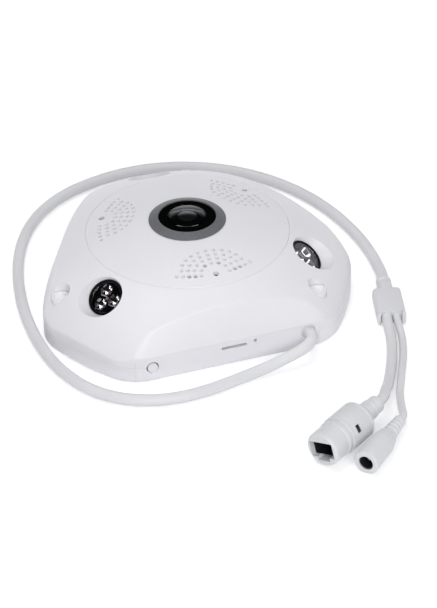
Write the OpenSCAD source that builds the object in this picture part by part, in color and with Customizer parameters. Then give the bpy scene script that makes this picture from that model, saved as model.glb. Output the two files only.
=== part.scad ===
// Panoramic wi-fi camera: a three-lobed shell with a fisheye lens, three infra-red lamps and a branching cable.
// The origin is on the lens axis in the mounting face, +Z points out of the lens, and -Y is the front wall.

/* [Shell] */
// Distance of the three lobes' ends from the lens axis
body_r = 73.9; // [71:0.1:78]
// Radius of the lobes' ends, which are only a little curved
lobe_arc_r = 120; // [100:1:150]
// How far the flat front wall lies within the lobes' ends
front_inset = 13.5; // [12.5:0.1:15]
// How far the two bowed sides lie within the lobes' ends
side_inset = 12.1; // [11:0.1:13]
// Radius of the bowed sides
side_arc_r = 227; // [180:1:300]
// Radius of the upright corners between them
corner_r = 22.4; // [16:0.1:26]
// Height of the dome on the lens axis
dome_h = 39.7; // [38.5:0.1:41]
// How far the groove round the centre plate lies within the lobes' ends
plate_inset = 27.7; // [27:0.1:29]
// Height of the groove
plate_h = 33.2; // [32:0.1:34]
// How far the turn from slope to shoulder lies within the lobes' ends
shoulder_inset = 7.4; // [6.5:0.1:9]
// Height there
shoulder_h = 22.9; // [21.5:0.1:24]
// Height of the upright skirt
skirt_h = 12.5; // [11.5:0.1:13.5]
// Lean of the front wall above the skirt from upright, in degrees
front_lean = 15.5; // [12:0.5:20]
// Lean of the bowed sides above the skirt from upright, in degrees
side_lean = 19.5; // [14:0.5:24]
// Wall of the shell
wall = 2.5; // [2:0.1:3]
// Thickness of the centre plate
plate_t = 1.5; // [1.2:0.1:1.8]
// Thickness of the base plate
base_t = 2; // [1.5:0.1:3]

/* [Lens] */
// Outer radius of the bezel ring
bezel_r = 17.5; // [16:0.1:19]
// Radius of the bore of the bezel ring
bezel_bore_r = 13.1; // [12:0.1:14]
// Height of the bezel's inner edge
bezel_h = 40.8; // [40.2:0.1:42]
// Radius of the front glass
glass_r = 9; // [8:0.1:10]
// Height of the front glass on the axis
glass_h = 43.2; // [42.4:0.1:44]
// Radius of the lens barrel
barrel_r = 7.5; // [6:0.1:8]

/* [Infra-red lamps] */
// How far the lamp windows' centres lie within the lobes' ends
lamp_inset = 19.3; // [18.5:0.1:20]
// Height of the lamp windows' centres
lamp_h = 25.3; // [24.5:0.1:26]
// Lean of the lamps away from the lens, in degrees
lamp_tilt = 40; // [35:1:48]
// Radius of the lamp cups
lamp_r = 8.3; // [7.8:0.1:9]
// Depth of the lamp cups
lamp_depth = 9.5; // [8:0.1:10]
// Emitters in each lamp
emitters = 3; // [2:1:4]

/* [Hole fields] */
// How far each fan's large hole lies within the groove
fan_inset = 6.4; // [5.5:0.1:8]
// Radius of the large holes
eye_r = 1.4; // [1:0.1:1.6]
// Radius of the small holes
hole_r = 0.8; // [0.5:0.05:1]
// Radius of the first row of small holes
fan_first_r = 6.5; // [5.5:0.1:7.5]
// Distance from row to row
fan_pitch = 2.65; // [2.5:0.05:3.2]
// Depth of the blind holes
hole_depth = 0.8; // [0.5:0.1:1.1]

/* [Screws] */
// How far the mounting screws lie within the lobes' ends
mount_inset = 8.1; // [7.6:0.1:9]
// Angle of the mounting screws behind each lobe's middle, in degrees
mount_turn = 17.5; // [16:0.1:19]
// Radius of the mounting screw holes
mount_hole_r = 2.2; // [1.6:0.1:2.6]
// Radius of the wells over the mounting screws
well_r = 4.3; // [3.8:0.1:4.6]
// Height of the plugs' flat tops
plug_h = 21.4; // [20:0.1:22]
// How far the case screws lie within the lobes' ends
case_inset = 12.4; // [11.5:0.1:14]

/* [Front wall] */
// Distance of the reset button from the left end of the flat wall, outwards
button_out = 0.3; // [-1:0.1:1]
// Height of the reset button
button_z = 6.9; // [6.6:0.1:7.4]
// Radius of the reset button
button_r = 2.4; // [2.2:0.05:2.6]
// Travel of the reset button
button_travel = 0.6; // [0.4:0.1:0.8]
// Place of the card slot's middle along the wall
card_x = 1.2; // [-2:0.1:2]
// Length of the card slot
card_w = 11.6; // [11.2:0.1:12.4]
// Height of the card slot's opening
card_t = 1.3; // [1:0.1:1.6]
// Place of the microphone hole along the wall
mic_x = 11.1; // [10.6:0.1:14]
// Distance of the cable exit from the right end of the flat wall, inwards
cable_in = 0.3; // [0:0.1:2]
// Height of the cable exit
cable_z = 8.8; // [8.6:0.1:9]
// Depth of the recessed panel
panel_depth = 0.5; // [0.3:0.1:0.8]

/* [Boards] */
// Height of the main board's upper face
board_z = 7.8; // [7.7:0.1:8]
// Thickness of the main board
board_t = 1.6; // [1:0.1:1.6]

/* [Cable] */
// Diameter of the main cable
cable_d = 5.2; // [4.8:0.1:5.3]
// Diameter of the network branch
network_d = 4.7; // [4.2:0.1:4.7]
// Diameter of the power branch
power_d = 3.4; // [3:0.1:3.5]
// Width of the splitter
splitter_w = 13; // [12:0.5:14]
// Length of the splitter's wide part
splitter_l = 20.6; // [19:0.1:20.6]
// Length of the splitter's neck
neck_l = 9.4; // [8:0.1:9.4]

/* [Network coupler] */
// Radius of the coupler's body
coupler_r = 8.5; // [8:0.1:8.9]
// Length of the coupler, from its mouth to its rear rim
coupler_l = 26.3; // [24:0.1:28]
// Radius of its mouth
mouth_r = 7.75; // [7.5:0.05:8]
// Length of its mouth
mouth_l = 9; // [7:0.1:10]
// Width of the socket
socket_w = 11.7; // [11.5:0.1:11.9]
// Height of the socket
socket_h = 7.2; // [6.8:0.1:7.4]
// Roll of the coupler about its own axis, in degrees
coupler_roll = 16; // [0:1:20]

/* [Power jack] */
// Radius of the jack's body
jack_r = 5.45; // [5:0.05:5.5]
// Length of the jack, from its mouth to its strain relief
jack_l = 20.5; // [18:0.5:22]
// Radius of the jack's bore
jack_bore_r = 2.8; // [2.6:0.05:3]
// Radius of the centre pin
jack_pin_r = 1.05; // [0.8:0.05:1.25]

/* [Hidden] */
$fn = 48;

// Overrun of every cut, and the clearances
cut = 1;
fit = 0.1;
play = 0.3;

// Colours
shell_white = [0.93, 0.92, 0.94];
cable_grey = [0.84, 0.84, 0.86];
bezel_grey = [0.5, 0.5, 0.52];
lens_black = [0.04, 0.04, 0.05];
metal = [0.75, 0.75, 0.77];
board_green = [0.08, 0.3, 0.16];
chip_black = [0.1, 0.1, 0.11];
gold = [0.8, 0.62, 0.25];

// Distances from the lens axis that follow from the lobes' ends
front_d = body_r - front_inset;
side_d = body_r - side_inset;
plate_r = body_r - plate_inset;
shoulder_r = body_r - shoulder_inset;
lamp_d = body_r - lamp_inset;
fan_d = plate_r - fan_inset;
mount_circle_r = body_r - mount_inset;
case_circle_r = body_r - case_inset;

// Directions of the lobes and of the sides, with the front wall's first
LOBE_ANGLES = [90, 210, 330];
SIDE_ANGLES = [270, 30, 150];
FRONT_ANGLE = SIDE_ANGLES[0];

// Outline seen from above, drawn in by an inset. Each half of a lobe is worked out with the lobe's middle on +X and
// the next side's middle at 60 degrees: the lobe's arc, the corner's arc and the side, which is flat at the front.
function toward(angle) = [cos(angle), sin(angle)];
function angle_of(v) = atan2(v.y, v.x);
half_angle = 60;
lobe_centre = [body_r - lobe_arc_r, 0];
side_centre = (side_d - side_arc_r) * toward(half_angle);
function meeting(a, r_a, b, r_b) = let (
        ahead = (b - a) / norm(b - a),
        along = (r_a * r_a - r_b * r_b + pow(norm(b - a), 2)) / (2 * norm(b - a))
    ) a + along * ahead - sqrt(r_a * r_a - along * along) * [-ahead.y, ahead.x];
flat_foot = (front_d - corner_r) * toward(half_angle);
flat_line = toward(half_angle - 90);
flat_ahead = (lobe_centre - flat_foot) * flat_line;
flat_half = flat_ahead + sqrt(pow(flat_ahead, 2) + pow(lobe_arc_r - corner_r, 2) - pow(norm(lobe_centre - flat_foot), 2));
flat_corner = flat_foot + flat_half * flat_line;
bowed_corner = meeting(side_centre, side_arc_r - corner_r, lobe_centre, lobe_arc_r - corner_r);
CORNER_STEPS = 7;
LOBE_STEPS = 5;
SIDE_STEPS = 6;
function arc(centre, r, from, to, steps) = [for (i = [0:steps]) centre + r * toward(from + (to - from) * i / steps)];
function half_lobe(inset, flat) = let (
        corner = flat ? flat_corner : bowed_corner,
        start = angle_of(corner - lobe_centre),
        stop = flat ? half_angle : angle_of(corner - side_centre)
    ) concat(
        arc(lobe_centre, lobe_arc_r - inset, 0, start, LOBE_STEPS),
        [for (i = [1:CORNER_STEPS]) corner + (corner_r - inset) * toward(start + (stop - start) * i / CORNER_STEPS)],
        flat ? [] : [for (i = [1:SIDE_STEPS])
            side_centre + (side_arc_r - inset) * toward(stop + (half_angle - stop) * i / (SIDE_STEPS + 1 / 2))]
    );
function turned(points, angle) = [for (p = points) [p.x * cos(angle) - p.y * sin(angle), p.x * sin(angle) + p.y * cos(angle)]];
function mirrored(points) = [for (i = [len(points) - 1:-1:1]) [points[i].x, -points[i].y]];
function lobe(inset, angle) = turned(concat(
        mirrored(half_lobe(inset, angle - half_angle == FRONT_ANGLE)),
        half_lobe(inset, angle + half_angle == FRONT_ANGLE)
    ), angle);
module outline(inset) {
    polygon([for (angle = LOBE_ANGLES) each lobe(inset, angle)]);
}

// The dome is what two balls on the lens axis and a turned shoulder have in common, each drawn in by the inset
dome_arc_r = (pow(plate_r, 2) + pow(dome_h - plate_h, 2)) / (2 * (dome_h - plate_h));
slope_z = (pow(plate_r, 2) + pow(plate_h, 2) - pow(shoulder_r, 2) - pow(shoulder_h, 2)) / (2 * (plate_h - shoulder_h));
slope_arc_r = norm([plate_r, plate_h - slope_z]);
shoulder_bulge = 0.5;
function arc_radius(p, q, bulge) = (pow(norm(q - p), 2) / 4 + pow(bulge, 2)) / (2 * bulge);
function arc_normal(p, q) = [p.y - q.y, q.x - p.x] / norm(q - p);
function arc_centre(p, q, bulge) = (p + q) / 2 - (arc_radius(p, q, bulge) - bulge) * arc_normal(p, q);

module shoulder(inset, below) {
    top = [shoulder_r, shoulder_h];
    foot = [body_r, skirt_h];
    core_r = shoulder_r - cut;
    rotate_extrude($fn = 120) intersection() {
        translate([core_r - cut, -below]) square([body_r - inset - core_r + 4 * cut, dome_h + below]);
        translate(arc_centre(top, foot, shoulder_bulge)) circle(arc_radius(top, foot, shoulder_bulge) - inset, $fn = 240);
    }
    translate([0, 0, -below]) cylinder(r = core_r, h = dome_h + below, $fn = 120);
}

// The housing as a solid, drawn in by an inset and carried on below the mounting face
module housing(inset, below) {
    difference() {
        intersection() {
            translate([0, 0, dome_h - dome_arc_r]) sphere(dome_arc_r - inset, $fn = 180);
            translate([0, 0, slope_z]) sphere(slope_arc_r - inset, $fn = 180);
            shoulder(inset, below);
            for (k = [1, 2]) rotate(SIDE_ANGLES[k]) bowed_side(inset, below);
            translate([0, 0, -below]) linear_extrude(dome_h + 2 * below) outline(inset);
        }
        rotate(FRONT_ANGLE) translate([front_d, 0, skirt_h]) rotate([0, -front_lean, 0])
            translate([-inset, -body_r, -inset]) cube([body_r, 2 * body_r, 2 * dome_h]);
    }
}

// A bowed side: upright as high as the skirt, and leaning in above it
module bowed_side(inset, below) {
    start_z = skirt_h - inset * tan(side_lean / 2) - cut;
    start_r = side_arc_r - inset + cut * tan(side_lean);
    lean_h = dome_h + cut - start_z;
    translate([side_d - side_arc_r, 0, 0]) {
        translate([0, 0, -below]) cylinder(r = start_r + cut, h = start_z + below, $fn = 360);
        translate([0, 0, start_z]) cylinder(r1 = start_r, r2 = start_r - lean_h * tan(side_lean), h = lean_h, $fn = 360);
    }
}

// Places of the wells and of the case screws
module at_wells() {
    for (a = LOBE_ANGLES) rotate(a - mount_turn) translate([mount_circle_r, 0, 0]) children();
}
case_turn = 20;
module at_case_screws() {
    for (a = LOBE_ANGLES) rotate(a + case_turn) translate([case_circle_r, 0, 0]) children();
}
well_wall = 1.5;
boss_r = 3.6;
pilot_r = 1.25;
pilot_top = 14;

// Axis of each lamp: children stand in its window, looking out along their own +Z
module at_lamps() {
    for (a = LOBE_ANGLES) rotate(a) translate([lamp_d, 0, lamp_h]) rotate([0, lamp_tilt, 0]) children();
}
lamp_gap = 0.2;
lamp_sleeve_wall = 2.2;
sleeve_r = lamp_r + lamp_gap + lamp_sleeve_wall;
flare_r = 14.4;
flare_h = 12;
rim_proud = 0.3;

// The shell
notch_w = 19;
notch_h = 0.9;
panel_left_out = 8;
panel_right_out = 5.1;
panel_left = -flat_half - panel_left_out;
panel_right = flat_half + panel_right_out;
panel_corner_r = 5;
button_x = -flat_half - button_out;
button_gap = 0.35;
mic_hole_r = 0.75;
mic_z = 9.7;
cable_x = flat_half - cable_in;
grommet_r = 3.4;
ledge_w = 2.6;

module panel_shape() {
    square_w = panel_right - panel_left - panel_corner_r;
    translate([panel_left + panel_corner_r, -cut]) square([square_w, skirt_h + cut]);
    translate([panel_left, -cut]) square([panel_corner_r + cut, skirt_h - panel_corner_r + cut]);
    translate([panel_left + panel_corner_r, skirt_h - panel_corner_r]) circle(panel_corner_r);
}

module front_openings() {
    deep = wall + panel_depth + cut;
    translate([0, -front_d + panel_depth, 0]) rotate([90, 0, 0]) linear_extrude(deep) panel_shape();
    translate([button_x, -front_d + deep, button_z]) rotate([90, 0, 0])
        cylinder(r = button_r + button_gap, h = deep + cut);
    translate([card_x - card_w / 2, -front_d - cut, card_z - card_t / 2]) cube([card_w, deep + cut, card_t]);
    translate([mic_x, -front_d + deep, mic_z]) rotate([90, 0, 0]) cylinder(r = mic_hole_r, h = deep + cut);
    translate([cable_x, -front_d + deep, cable_z]) rotate([90, 0, 0]) cylinder(r = grommet_r, h = deep + cut);
}

module top_cover() {
    color(shell_white) difference() {
        union() {
            difference() {
                housing(0, 0);
                housing(wall, cut);
            }
            intersection() {
                housing(0, 0);
                union() {
                    at_lamps() translate([0, 0, -lamp_depth / 2]) cylinder(r = sleeve_r, h = dome_h);
                    at_wells() translate([0, 0, base_t]) cylinder(r = well_r + well_wall, h = dome_h);
                    at_case_screws() translate([0, 0, base_t]) cylinder(r = boss_r, h = dome_h);
                }
            }
        }
        // Seat and opening of the centre plate
        difference() {
            translate([0, 0, plate_h - plate_t - fit]) cylinder(r = plate_r + fit, h = dome_h, $fn = 180);
            translate([0, 0, dome_h - dome_arc_r]) sphere(dome_arc_r - plate_t - fit, $fn = 90);
        }
        translate([0, 0, skirt_h]) cylinder(r = plate_r - ledge_w, h = dome_h, $fn = 180);
        // Lamp pockets, which flare outwards above the cups
        at_lamps() {
            translate([0, 0, -2 * lamp_depth]) cylinder(r = lamp_r + lamp_gap, h = 2 * lamp_depth + rim_proud + fit);
            translate([0, 0, rim_proud]) cylinder(r1 = lamp_r + lamp_gap, r2 = flare_r, h = flare_h);
        }
        at_wells() translate([0, 0, base_t - cut]) cylinder(r = well_r, h = dome_h);
        at_case_screws() translate([0, 0, base_t - cut]) cylinder(r = pilot_r, h = pilot_top - base_t + cut);
        front_openings();
        for (a = LOBE_ANGLES) rotate(a) translate([body_r - 2 * wall, -notch_w / 2, -cut])
            cube([3 * wall, notch_w, notch_h + cut]);
    }
}

// The centre plate, with a fan of small holes round each large one, and the collars below it
FAN_COUNTS = [7, 9, 11, 13];
outer_row_count = 15;
outer_row_angle = 85;
speaker_inset = 9.4;
speaker_d = fan_d - speaker_inset;
speaker_r = 11;
speaker_t = 4.5;
collar_wall = 1.4;
collar_h = 4;
sensor_r = 2.5;
sensor_h = 3.4;
DRILLED_STEPS = [[0, 2], [0, 4], [1, 0], [1, 8], [2, 0], [2, 10]];
function plate_under(d) = sqrt(pow(dome_arc_r - plate_t, 2) - pow(d, 2)) + dome_h - dome_arc_r;
function plate_over(d) = sqrt(pow(dome_arc_r, 2) - pow(d, 2)) + dome_h - dome_arc_r;
speaker_top = plate_under(speaker_d + speaker_r) - play;
sensor_top = plate_under(fan_d + sensor_r) - play;

module at_fan(row, i, count) {
    angle = 180 * i / (count - 1) - 90;
    across = (fan_first_r + row * fan_pitch) * sin(angle);
    bend = across * across / (2 * fan_d);
    translate([-(fan_first_r + row * fan_pitch) * cos(angle) - bend, across, 0]) children();
}

// One small hole: blind, or through the plate
module small_hole(d, through) {
    bottom = plate_over(d) - (through ? 2 * plate_t : hole_depth);
    translate([0, 0, bottom]) cylinder(r = hole_r, h = dome_h, $fn = 16);
}

module fan_holes(front) {
    translate([fan_d, 0, 0]) {
        for (row = [0:len(FAN_COUNTS) - 1], i = [0:FAN_COUNTS[row] - 1]) {
            away = 180 * i / (FAN_COUNTS[row] - 1) - 90;
            d = fan_d - (fan_first_r + row * fan_pitch) * cos(away);
            through = front && len([for (k = DRILLED_STEPS) if (k == [row, i]) 1]) > 0;
            at_fan(row, i, FAN_COUNTS[row]) small_hole(d, through);
        }
        for (i = [0:outer_row_count - 1]) {
            away = 180 * i / (outer_row_count - 1) - 90;
            d = fan_d - (fan_first_r + len(FAN_COUNTS) * fan_pitch) * cos(away);
            if (abs(away) > outer_row_angle)
                at_fan(len(FAN_COUNTS), i, outer_row_count) small_hole(d, false);
        }
    }
}

module centre_plate() {
    spigot_r = bezel_bore_r + bezel_wall + fit;
    color(shell_white) difference() {
        union() {
            difference() {
                intersection() {
                    translate([0, 0, dome_h - dome_arc_r]) sphere(dome_arc_r, $fn = 90);
                    translate([0, 0, skirt_h]) cylinder(r = plate_r - fit, h = dome_h, $fn = 180);
                }
                translate([0, 0, dome_h - dome_arc_r]) sphere(dome_arc_r - plate_t, $fn = 90);
            }
            // Collars that hold the loudspeaker and the light sensor
            intersection() {
                translate([0, 0, dome_h - dome_arc_r]) sphere(dome_arc_r - plate_t / 2, $fn = 90);
                union() {
                    rotate(FRONT_ANGLE) translate([speaker_d, 0, speaker_top - collar_h])
                        cylinder(r = speaker_r + collar_wall, h = dome_h);
                    rotate(SIDE_ANGLES[2]) translate([fan_d, 0, sensor_top - sensor_h])
                        cylinder(r = sensor_r + collar_wall, h = dome_h);
                }
            }
        }
        translate([0, 0, skirt_h]) cylinder(r = spigot_r, h = dome_h);
        rotate(FRONT_ANGLE) translate([speaker_d, 0, speaker_top - dome_h])
            cylinder(r = speaker_r + fit, h = dome_h + play);
        rotate(SIDE_ANGLES[2]) translate([fan_d, 0, sensor_top - dome_h]) cylinder(r = sensor_r + fit, h = dome_h + play);
        for (k = [0:len(SIDE_ANGLES) - 1]) rotate(SIDE_ANGLES[k]) {
            fan_holes(k == 0);
            translate([fan_d, 0, plate_over(fan_d) - (k == 2 ? dome_h : hole_depth)]) cylinder(r = eye_r, h = dome_h);
        }
    }
}

// The base plate, with posts for the main board
post_r = 3.2;
post_d = 38;
screw_r = 1.2;
head_r = 3.2;
head_t = 1.1;
module at_posts() {
    for (a = LOBE_ANGLES) rotate(a) translate([post_d, 0, 0]) children();
}

module base_plate() {
    board_under = board_z - board_t;
    color(shell_white) difference() {
        union() {
            linear_extrude(base_t) outline(wall + play);
            at_posts() cylinder(r = post_r, h = board_under);
        }
        at_wells() translate([0, 0, -cut]) cylinder(r = mount_hole_r, h = base_t + 2 * cut);
        at_case_screws() {
            translate([0, 0, -cut]) cylinder(r = screw_r + fit, h = base_t + 2 * cut);
            translate([0, 0, -cut]) cylinder(r = head_r + fit, h = head_t + fit + cut);
        }
        at_posts() translate([0, 0, base_t / 2]) cylinder(r = pilot_r, h = board_z);
    }
}

// Plugs over the mounting screws, with a shallow dish in the top
plug_t = 6;
dish_t = 0.6;
module screw_plugs() {
    color(shell_white) at_wells() difference() {
        translate([0, 0, plug_h - plug_t]) cylinder(r = well_r - fit, h = plug_t);
        translate([0, 0, plug_h - dish_t]) cylinder(r = well_r - plate_t, h = plug_t);
        translate([0, 0, plug_h - plug_t - cut]) cylinder(r = well_r - plate_t, h = plug_t - 2 * dish_t);
    }
}

// A screw whose head sits at the origin and whose shank runs up or down from it
cross_w = 0.7;
cross_l = 3.4;
cross_t = 0.6;
module screw(shank_l) {
    difference() {
        union() {
            cylinder(r = head_r, h = head_t);
            translate([0, 0, head_t - fit]) cylinder(r = screw_r, h = shank_l + fit);
        }
        for (turn = [0, 90]) rotate(turn) translate([-cross_l / 2, -cross_w / 2, -cut])
            cube([cross_l, cross_w, cross_t + cut]);
    }
}

module case_screws() {
    color(metal) at_case_screws() translate([0, 0, fit]) screw(pilot_top - head_t - cut);
}

module board_screws() {
    shank_l = board_z - base_t - fit;
    color(metal) at_posts() translate([0, 0, board_z + head_t + fit / 2]) mirror([0, 0, 1]) screw(shank_l);
}

// The grommet in the front wall, moulded round the cable
flange_r = 4.4;
flange_t = 1.2;
module cable_grommet() {
    face = front_d - panel_depth;
    inside = front_d - wall;
    color(shell_white) translate([cable_x, 0, cable_z]) rotate([90, 0, 0]) {
        translate([0, 0, inside - flange_t / 2]) cylinder(r = grommet_r - fit / 2, h = face - inside + flange_t / 2);
    }
    color(shell_white) intersection() {
        translate([cable_x, -inside + flange_t, cable_z]) rotate([90, 0, 0]) cylinder(r = flange_r, h = 2 * flange_t);
        linear_extrude(skirt_h) outline(wall + fit / 2);
    }
}

// Lens group
bezel_wall = 2.4;
bezel_rim = 0.3;
bezel_seat = plate_over(bezel_bore_r + bezel_wall + fit);
spigot_h = 3.4;
module lens_bezel_ring() {
    color(bezel_grey) rotate_extrude($fn = 120) polygon([
        [bezel_bore_r, bezel_seat - spigot_h],
        [bezel_bore_r + bezel_wall, bezel_seat - spigot_h],
        [bezel_bore_r + bezel_wall, bezel_seat],
        [bezel_r, bezel_seat],
        [bezel_r, bezel_seat + bezel_rim],
        [bezel_bore_r + bezel_rim, bezel_h],
        [bezel_bore_r, bezel_h]
    ]);
}

glass_flange = 1.6;
glass_flange_t = 1.4;
glass_rise = 3.6;
glass_edge_h = glass_h - glass_rise;
glass_seat = glass_edge_h - spigot_h;
module lens_retaining_ring() {
    top = bezel_h - bezel_rim;
    over = glass_seat + glass_flange_t + fit;
    color(lens_black) rotate_extrude($fn = 120) polygon([
        [glass_r + glass_flange + fit, glass_seat],
        [bezel_bore_r - fit, glass_seat],
        [bezel_bore_r - fit, top - bezel_rim],
        [bezel_bore_r - fit - bezel_rim, top],
        [bezel_bore_r - bezel_wall, top],
        [glass_r + fit, glass_edge_h],
        [glass_r + fit, over],
        [glass_r + glass_flange + fit, over]
    ]);
}

glass_arc_r = (pow(glass_r, 2) + pow(glass_rise, 2)) / (2 * glass_rise);
module lens_front_glass() {
    color(lens_black) rotate_extrude($fn = 96) {
        translate([0, glass_seat]) square([glass_r + glass_flange, glass_flange_t]);
        intersection() {
            translate([0, glass_seat]) square([glass_r, glass_h]);
            translate([0, glass_h - glass_arc_r]) circle(glass_arc_r, $fn = 180);
        }
    }
}

holder_w = 30;
holder_d = 20;
holder_h = 7.2;
tube_wall = 1.6;
tube_top = 24;
barrel_foot = 6.6;
slot_l = 24.4;
slot_w = 10;
slot_h = 1.6;
slot_up = 3.4;
slot_z = board_z + slot_up;
filter_l = 16.4;
filter_t = 0.9;
filter_travel = 7.2;
aperture_r = 3.2;
sensor_w = 8;
sensor_t = 1.4;
module lens_barrel() {
    foot = board_z + barrel_foot;
    color(lens_black) difference() {
        union() {
            translate([0, 0, foot]) cylinder(r = barrel_r - fit / 2, h = glass_seat - foot);
            translate([0, 0, glass_seat - glass_flange_t]) cylinder(r = glass_r + glass_flange, h = glass_flange_t);
        }
        translate([0, 0, foot - cut]) cylinder(r = aperture_r, h = glass_flange_t + cut);
    }
}

module lens_holder() {
    color(lens_black) difference() {
        union() {
            translate([-holder_w / 2, -holder_d / 2, board_z]) cube([holder_w, holder_d, holder_h]);
            translate([0, 0, board_z]) cylinder(r = barrel_r + tube_wall, h = tube_top - board_z);
        }
        translate([0, 0, board_z + barrel_foot - fit]) cylinder(r = barrel_r, h = tube_top);
        translate([0, 0, slot_z]) cylinder(r = aperture_r, h = tube_top);
        translate([-slot_l / 2, -slot_w / 2, slot_z]) cube([slot_l, slot_w, slot_h]);
        translate([-sensor_w / 2 - play, -sensor_w / 2 - play, board_z - cut])
            cube([sensor_w + 2 * play, sensor_w + 2 * play, cut + 2 * sensor_t]);
        translate([0, 0, board_z]) cylinder(r = aperture_r, h = slot_z);
    }
}

// Day and night filter: a sliding frame with two panes, of which the second stands over the sensor at rest
pane_pitch = 7.2;
module day_night_filter() {
    first = slot_l / 2 - play - filter_travel - filter_l;
    color(lens_black) translate([first, 0, slot_z + play]) difference() {
        translate([0, play - slot_w / 2, 0]) cube([filter_l, slot_w - 2 * play, filter_t]);
        for (side = [0, 1]) translate([filter_l / 2 + (side - 1 / 2) * pane_pitch, 0, filter_t / 2])
            cylinder(r = aperture_r, h = filter_t);
    }
}

module image_sensor() {
    color(chip_black) translate([-sensor_w / 2, -sensor_w / 2, board_z]) difference() {
        cube([sensor_w, sensor_w, sensor_t]);
        translate([sensor_t, sensor_t, sensor_t * 3 / 4])
            cube([sensor_w - 2 * sensor_t, sensor_w - 2 * sensor_t, sensor_t]);
    }
}

// Lamps: a cup with a board on its floor, a reflector, emitters and a window
cup_wall = 1;
cup_floor = 1.2;
lamp_board_t = 1.2;
window_t = 1.4;
bowl_r = 3;
bowl_throat_r = 1.5;
bowl_d = 3.6;
emitter_r = 1.2;
emitter_h = 2.2;
lamp_fill_r = lamp_r - cup_wall - fit;
lamp_floor = cup_floor - lamp_depth;
reflector_z = lamp_floor + lamp_board_t;
reflector_h = -reflector_z - window_t - rim_proud;

module at_emitters() {
    at_lamps() for (i = [0:emitters - 1]) rotate(180 + 360 * i / emitters) translate([bowl_d, 0, 0]) children();
}

module lamp_cups() {
    color(lens_black) at_lamps() difference() {
        translate([0, 0, -lamp_depth]) cylinder(r = lamp_r, h = lamp_depth + rim_proud, $fn = 72);
        translate([0, 0, lamp_floor]) cylinder(r = lamp_r - cup_wall, h = lamp_depth, $fn = 72);
    }
}

module lamp_boards() {
    color(board_green) at_lamps() translate([0, 0, lamp_floor]) cylinder(r = lamp_fill_r, h = lamp_board_t);
}

module lamp_reflectors() {
    color(metal) difference() {
        at_lamps() translate([0, 0, reflector_z]) cylinder(r = lamp_fill_r, h = reflector_h);
        at_emitters() {
            translate([0, 0, reflector_z - cut]) cylinder(r = bowl_throat_r, h = reflector_h);
            translate([0, 0, reflector_z + emitter_h / 2])
                cylinder(r1 = bowl_throat_r, r2 = bowl_r, h = reflector_h - emitter_h / 2 + fit);
        }
    }
}

module lamp_emitters() {
    color(gold) at_emitters() translate([0, 0, reflector_z]) {
        cylinder(r = emitter_r, h = emitter_h - emitter_r, $fn = 24);
        intersection() {
            translate([0, 0, emitter_h - emitter_r]) sphere(emitter_r, $fn = 24);
            cylinder(r = emitter_r, h = emitter_h);
        }
    }
}

module lamp_windows() {
    color([0.25, 0.25, 0.3, 0.5]) at_lamps() translate([0, 0, -window_t])
        cylinder(r = lamp_fill_r, h = window_t, $fn = 72);
}

// Sound and sensing
magnet_r = 6;
magnet_t = 2.2;
module loudspeaker() {
    color(chip_black) rotate(FRONT_ANGLE) translate([speaker_d, 0, 0]) difference() {
        union() {
            translate([0, 0, speaker_top - speaker_t]) cylinder(r = speaker_r, h = speaker_t);
            translate([0, 0, speaker_top - speaker_t - magnet_t]) cylinder(r = magnet_r, h = magnet_t + fit);
        }
        translate([0, 0, speaker_top - magnet_t / 2]) cylinder(r1 = magnet_r / 2, r2 = speaker_r - cut, h = magnet_t);
    }
}

mic_r = 1.85;
mic_l = 2.6;
module microphone() {
    color(metal) translate([mic_x, fit - front_d + wall, mic_z + fit / 2]) rotate([-90, 0, 0]) difference() {
        cylinder(r = mic_r, h = mic_l);
        translate([0, 0, -cut]) cylinder(r = mic_hole_r, h = cut + cup_wall);
    }
}

module light_sensor() {
    color(chip_black) rotate(SIDE_ANGLES[2]) translate([fan_d, 0, sensor_top - sensor_h])
        cylinder(r = sensor_r, h = sensor_h);
}

// Main board, cut out round the wells, the bosses and the reset switch, and square at the cable's corner
board_inset = wall + 4 * play;
button_proud = 0.8;
collar_r = 3.3;
collar_t = 0.7;
stem_r = 0.9;
stem_l = 2;
switch_w = 6;
switch_l = 3.6;
switch_h = 3.6;
switch_gap = 0.7;
switch_front = wall + 2 * play + collar_t + button_travel + switch_gap;
header_w = 8;
header_l = 7.6;
header_h = 6;
header_x = cable_x - 2.6;
header_y = -front_d + wall + flange_t;
module main_board() {
    color(board_green) difference() {
        translate([0, 0, board_z - board_t]) linear_extrude(board_t) outline(board_inset);
        at_wells() translate([0, 0, base_t]) cylinder(r = well_r + well_wall + 2 * play, h = board_z);
        at_case_screws() translate([0, 0, base_t]) cylinder(r = boss_r + 2 * play, h = board_z);
        at_posts() translate([0, 0, base_t]) cylinder(r = screw_r + play, h = board_z);
        translate([button_x - collar_r - play, -front_d, base_t])
            cube([2 * collar_r + 2 * play, switch_front + switch_l + fit, board_z]);
        translate([header_x - header_w / 2 - fit, -front_d, base_t])
            cube([body_r, front_d + header_y + header_l + fit, board_z]);
    }
}

processor_w = 14;
processor_t = 1.4;
processor_at = [26, 4];
module processor() {
    color(chip_black) translate([processor_at.x, processor_at.y, board_z]) {
        translate([-processor_w / 2, -processor_w / 2, 0]) cube([processor_w, processor_w, processor_t / 2]);
        translate([-processor_w / 2 + play, -processor_w / 2 + play, 0])
            cube([processor_w - 2 * play, processor_w - 2 * play, processor_t]);
    }
}

memory_w = 10;
memory_l = 12;
memory_t = 1.1;
memory_at = [21, 20];
module memory_chip() {
    color(chip_black) translate([memory_at.x, memory_at.y, board_z]) cube([memory_w, memory_l, memory_t]);
}

wifi_w = 16;
wifi_l = 13;
wifi_t = 2.2;
wifi_inset = 17.8;
wifi_at = [wifi_inset - side_d, 14];
module wifi_module() {
    color(metal) translate([wifi_at.x, wifi_at.y, board_z]) {
        cube([wifi_w, wifi_l, wifi_t / 3]);
        translate([play * 2, play * 2, 0]) cube([wifi_w - 4 * play, wifi_l - 4 * play, wifi_t]);
    }
}

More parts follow.
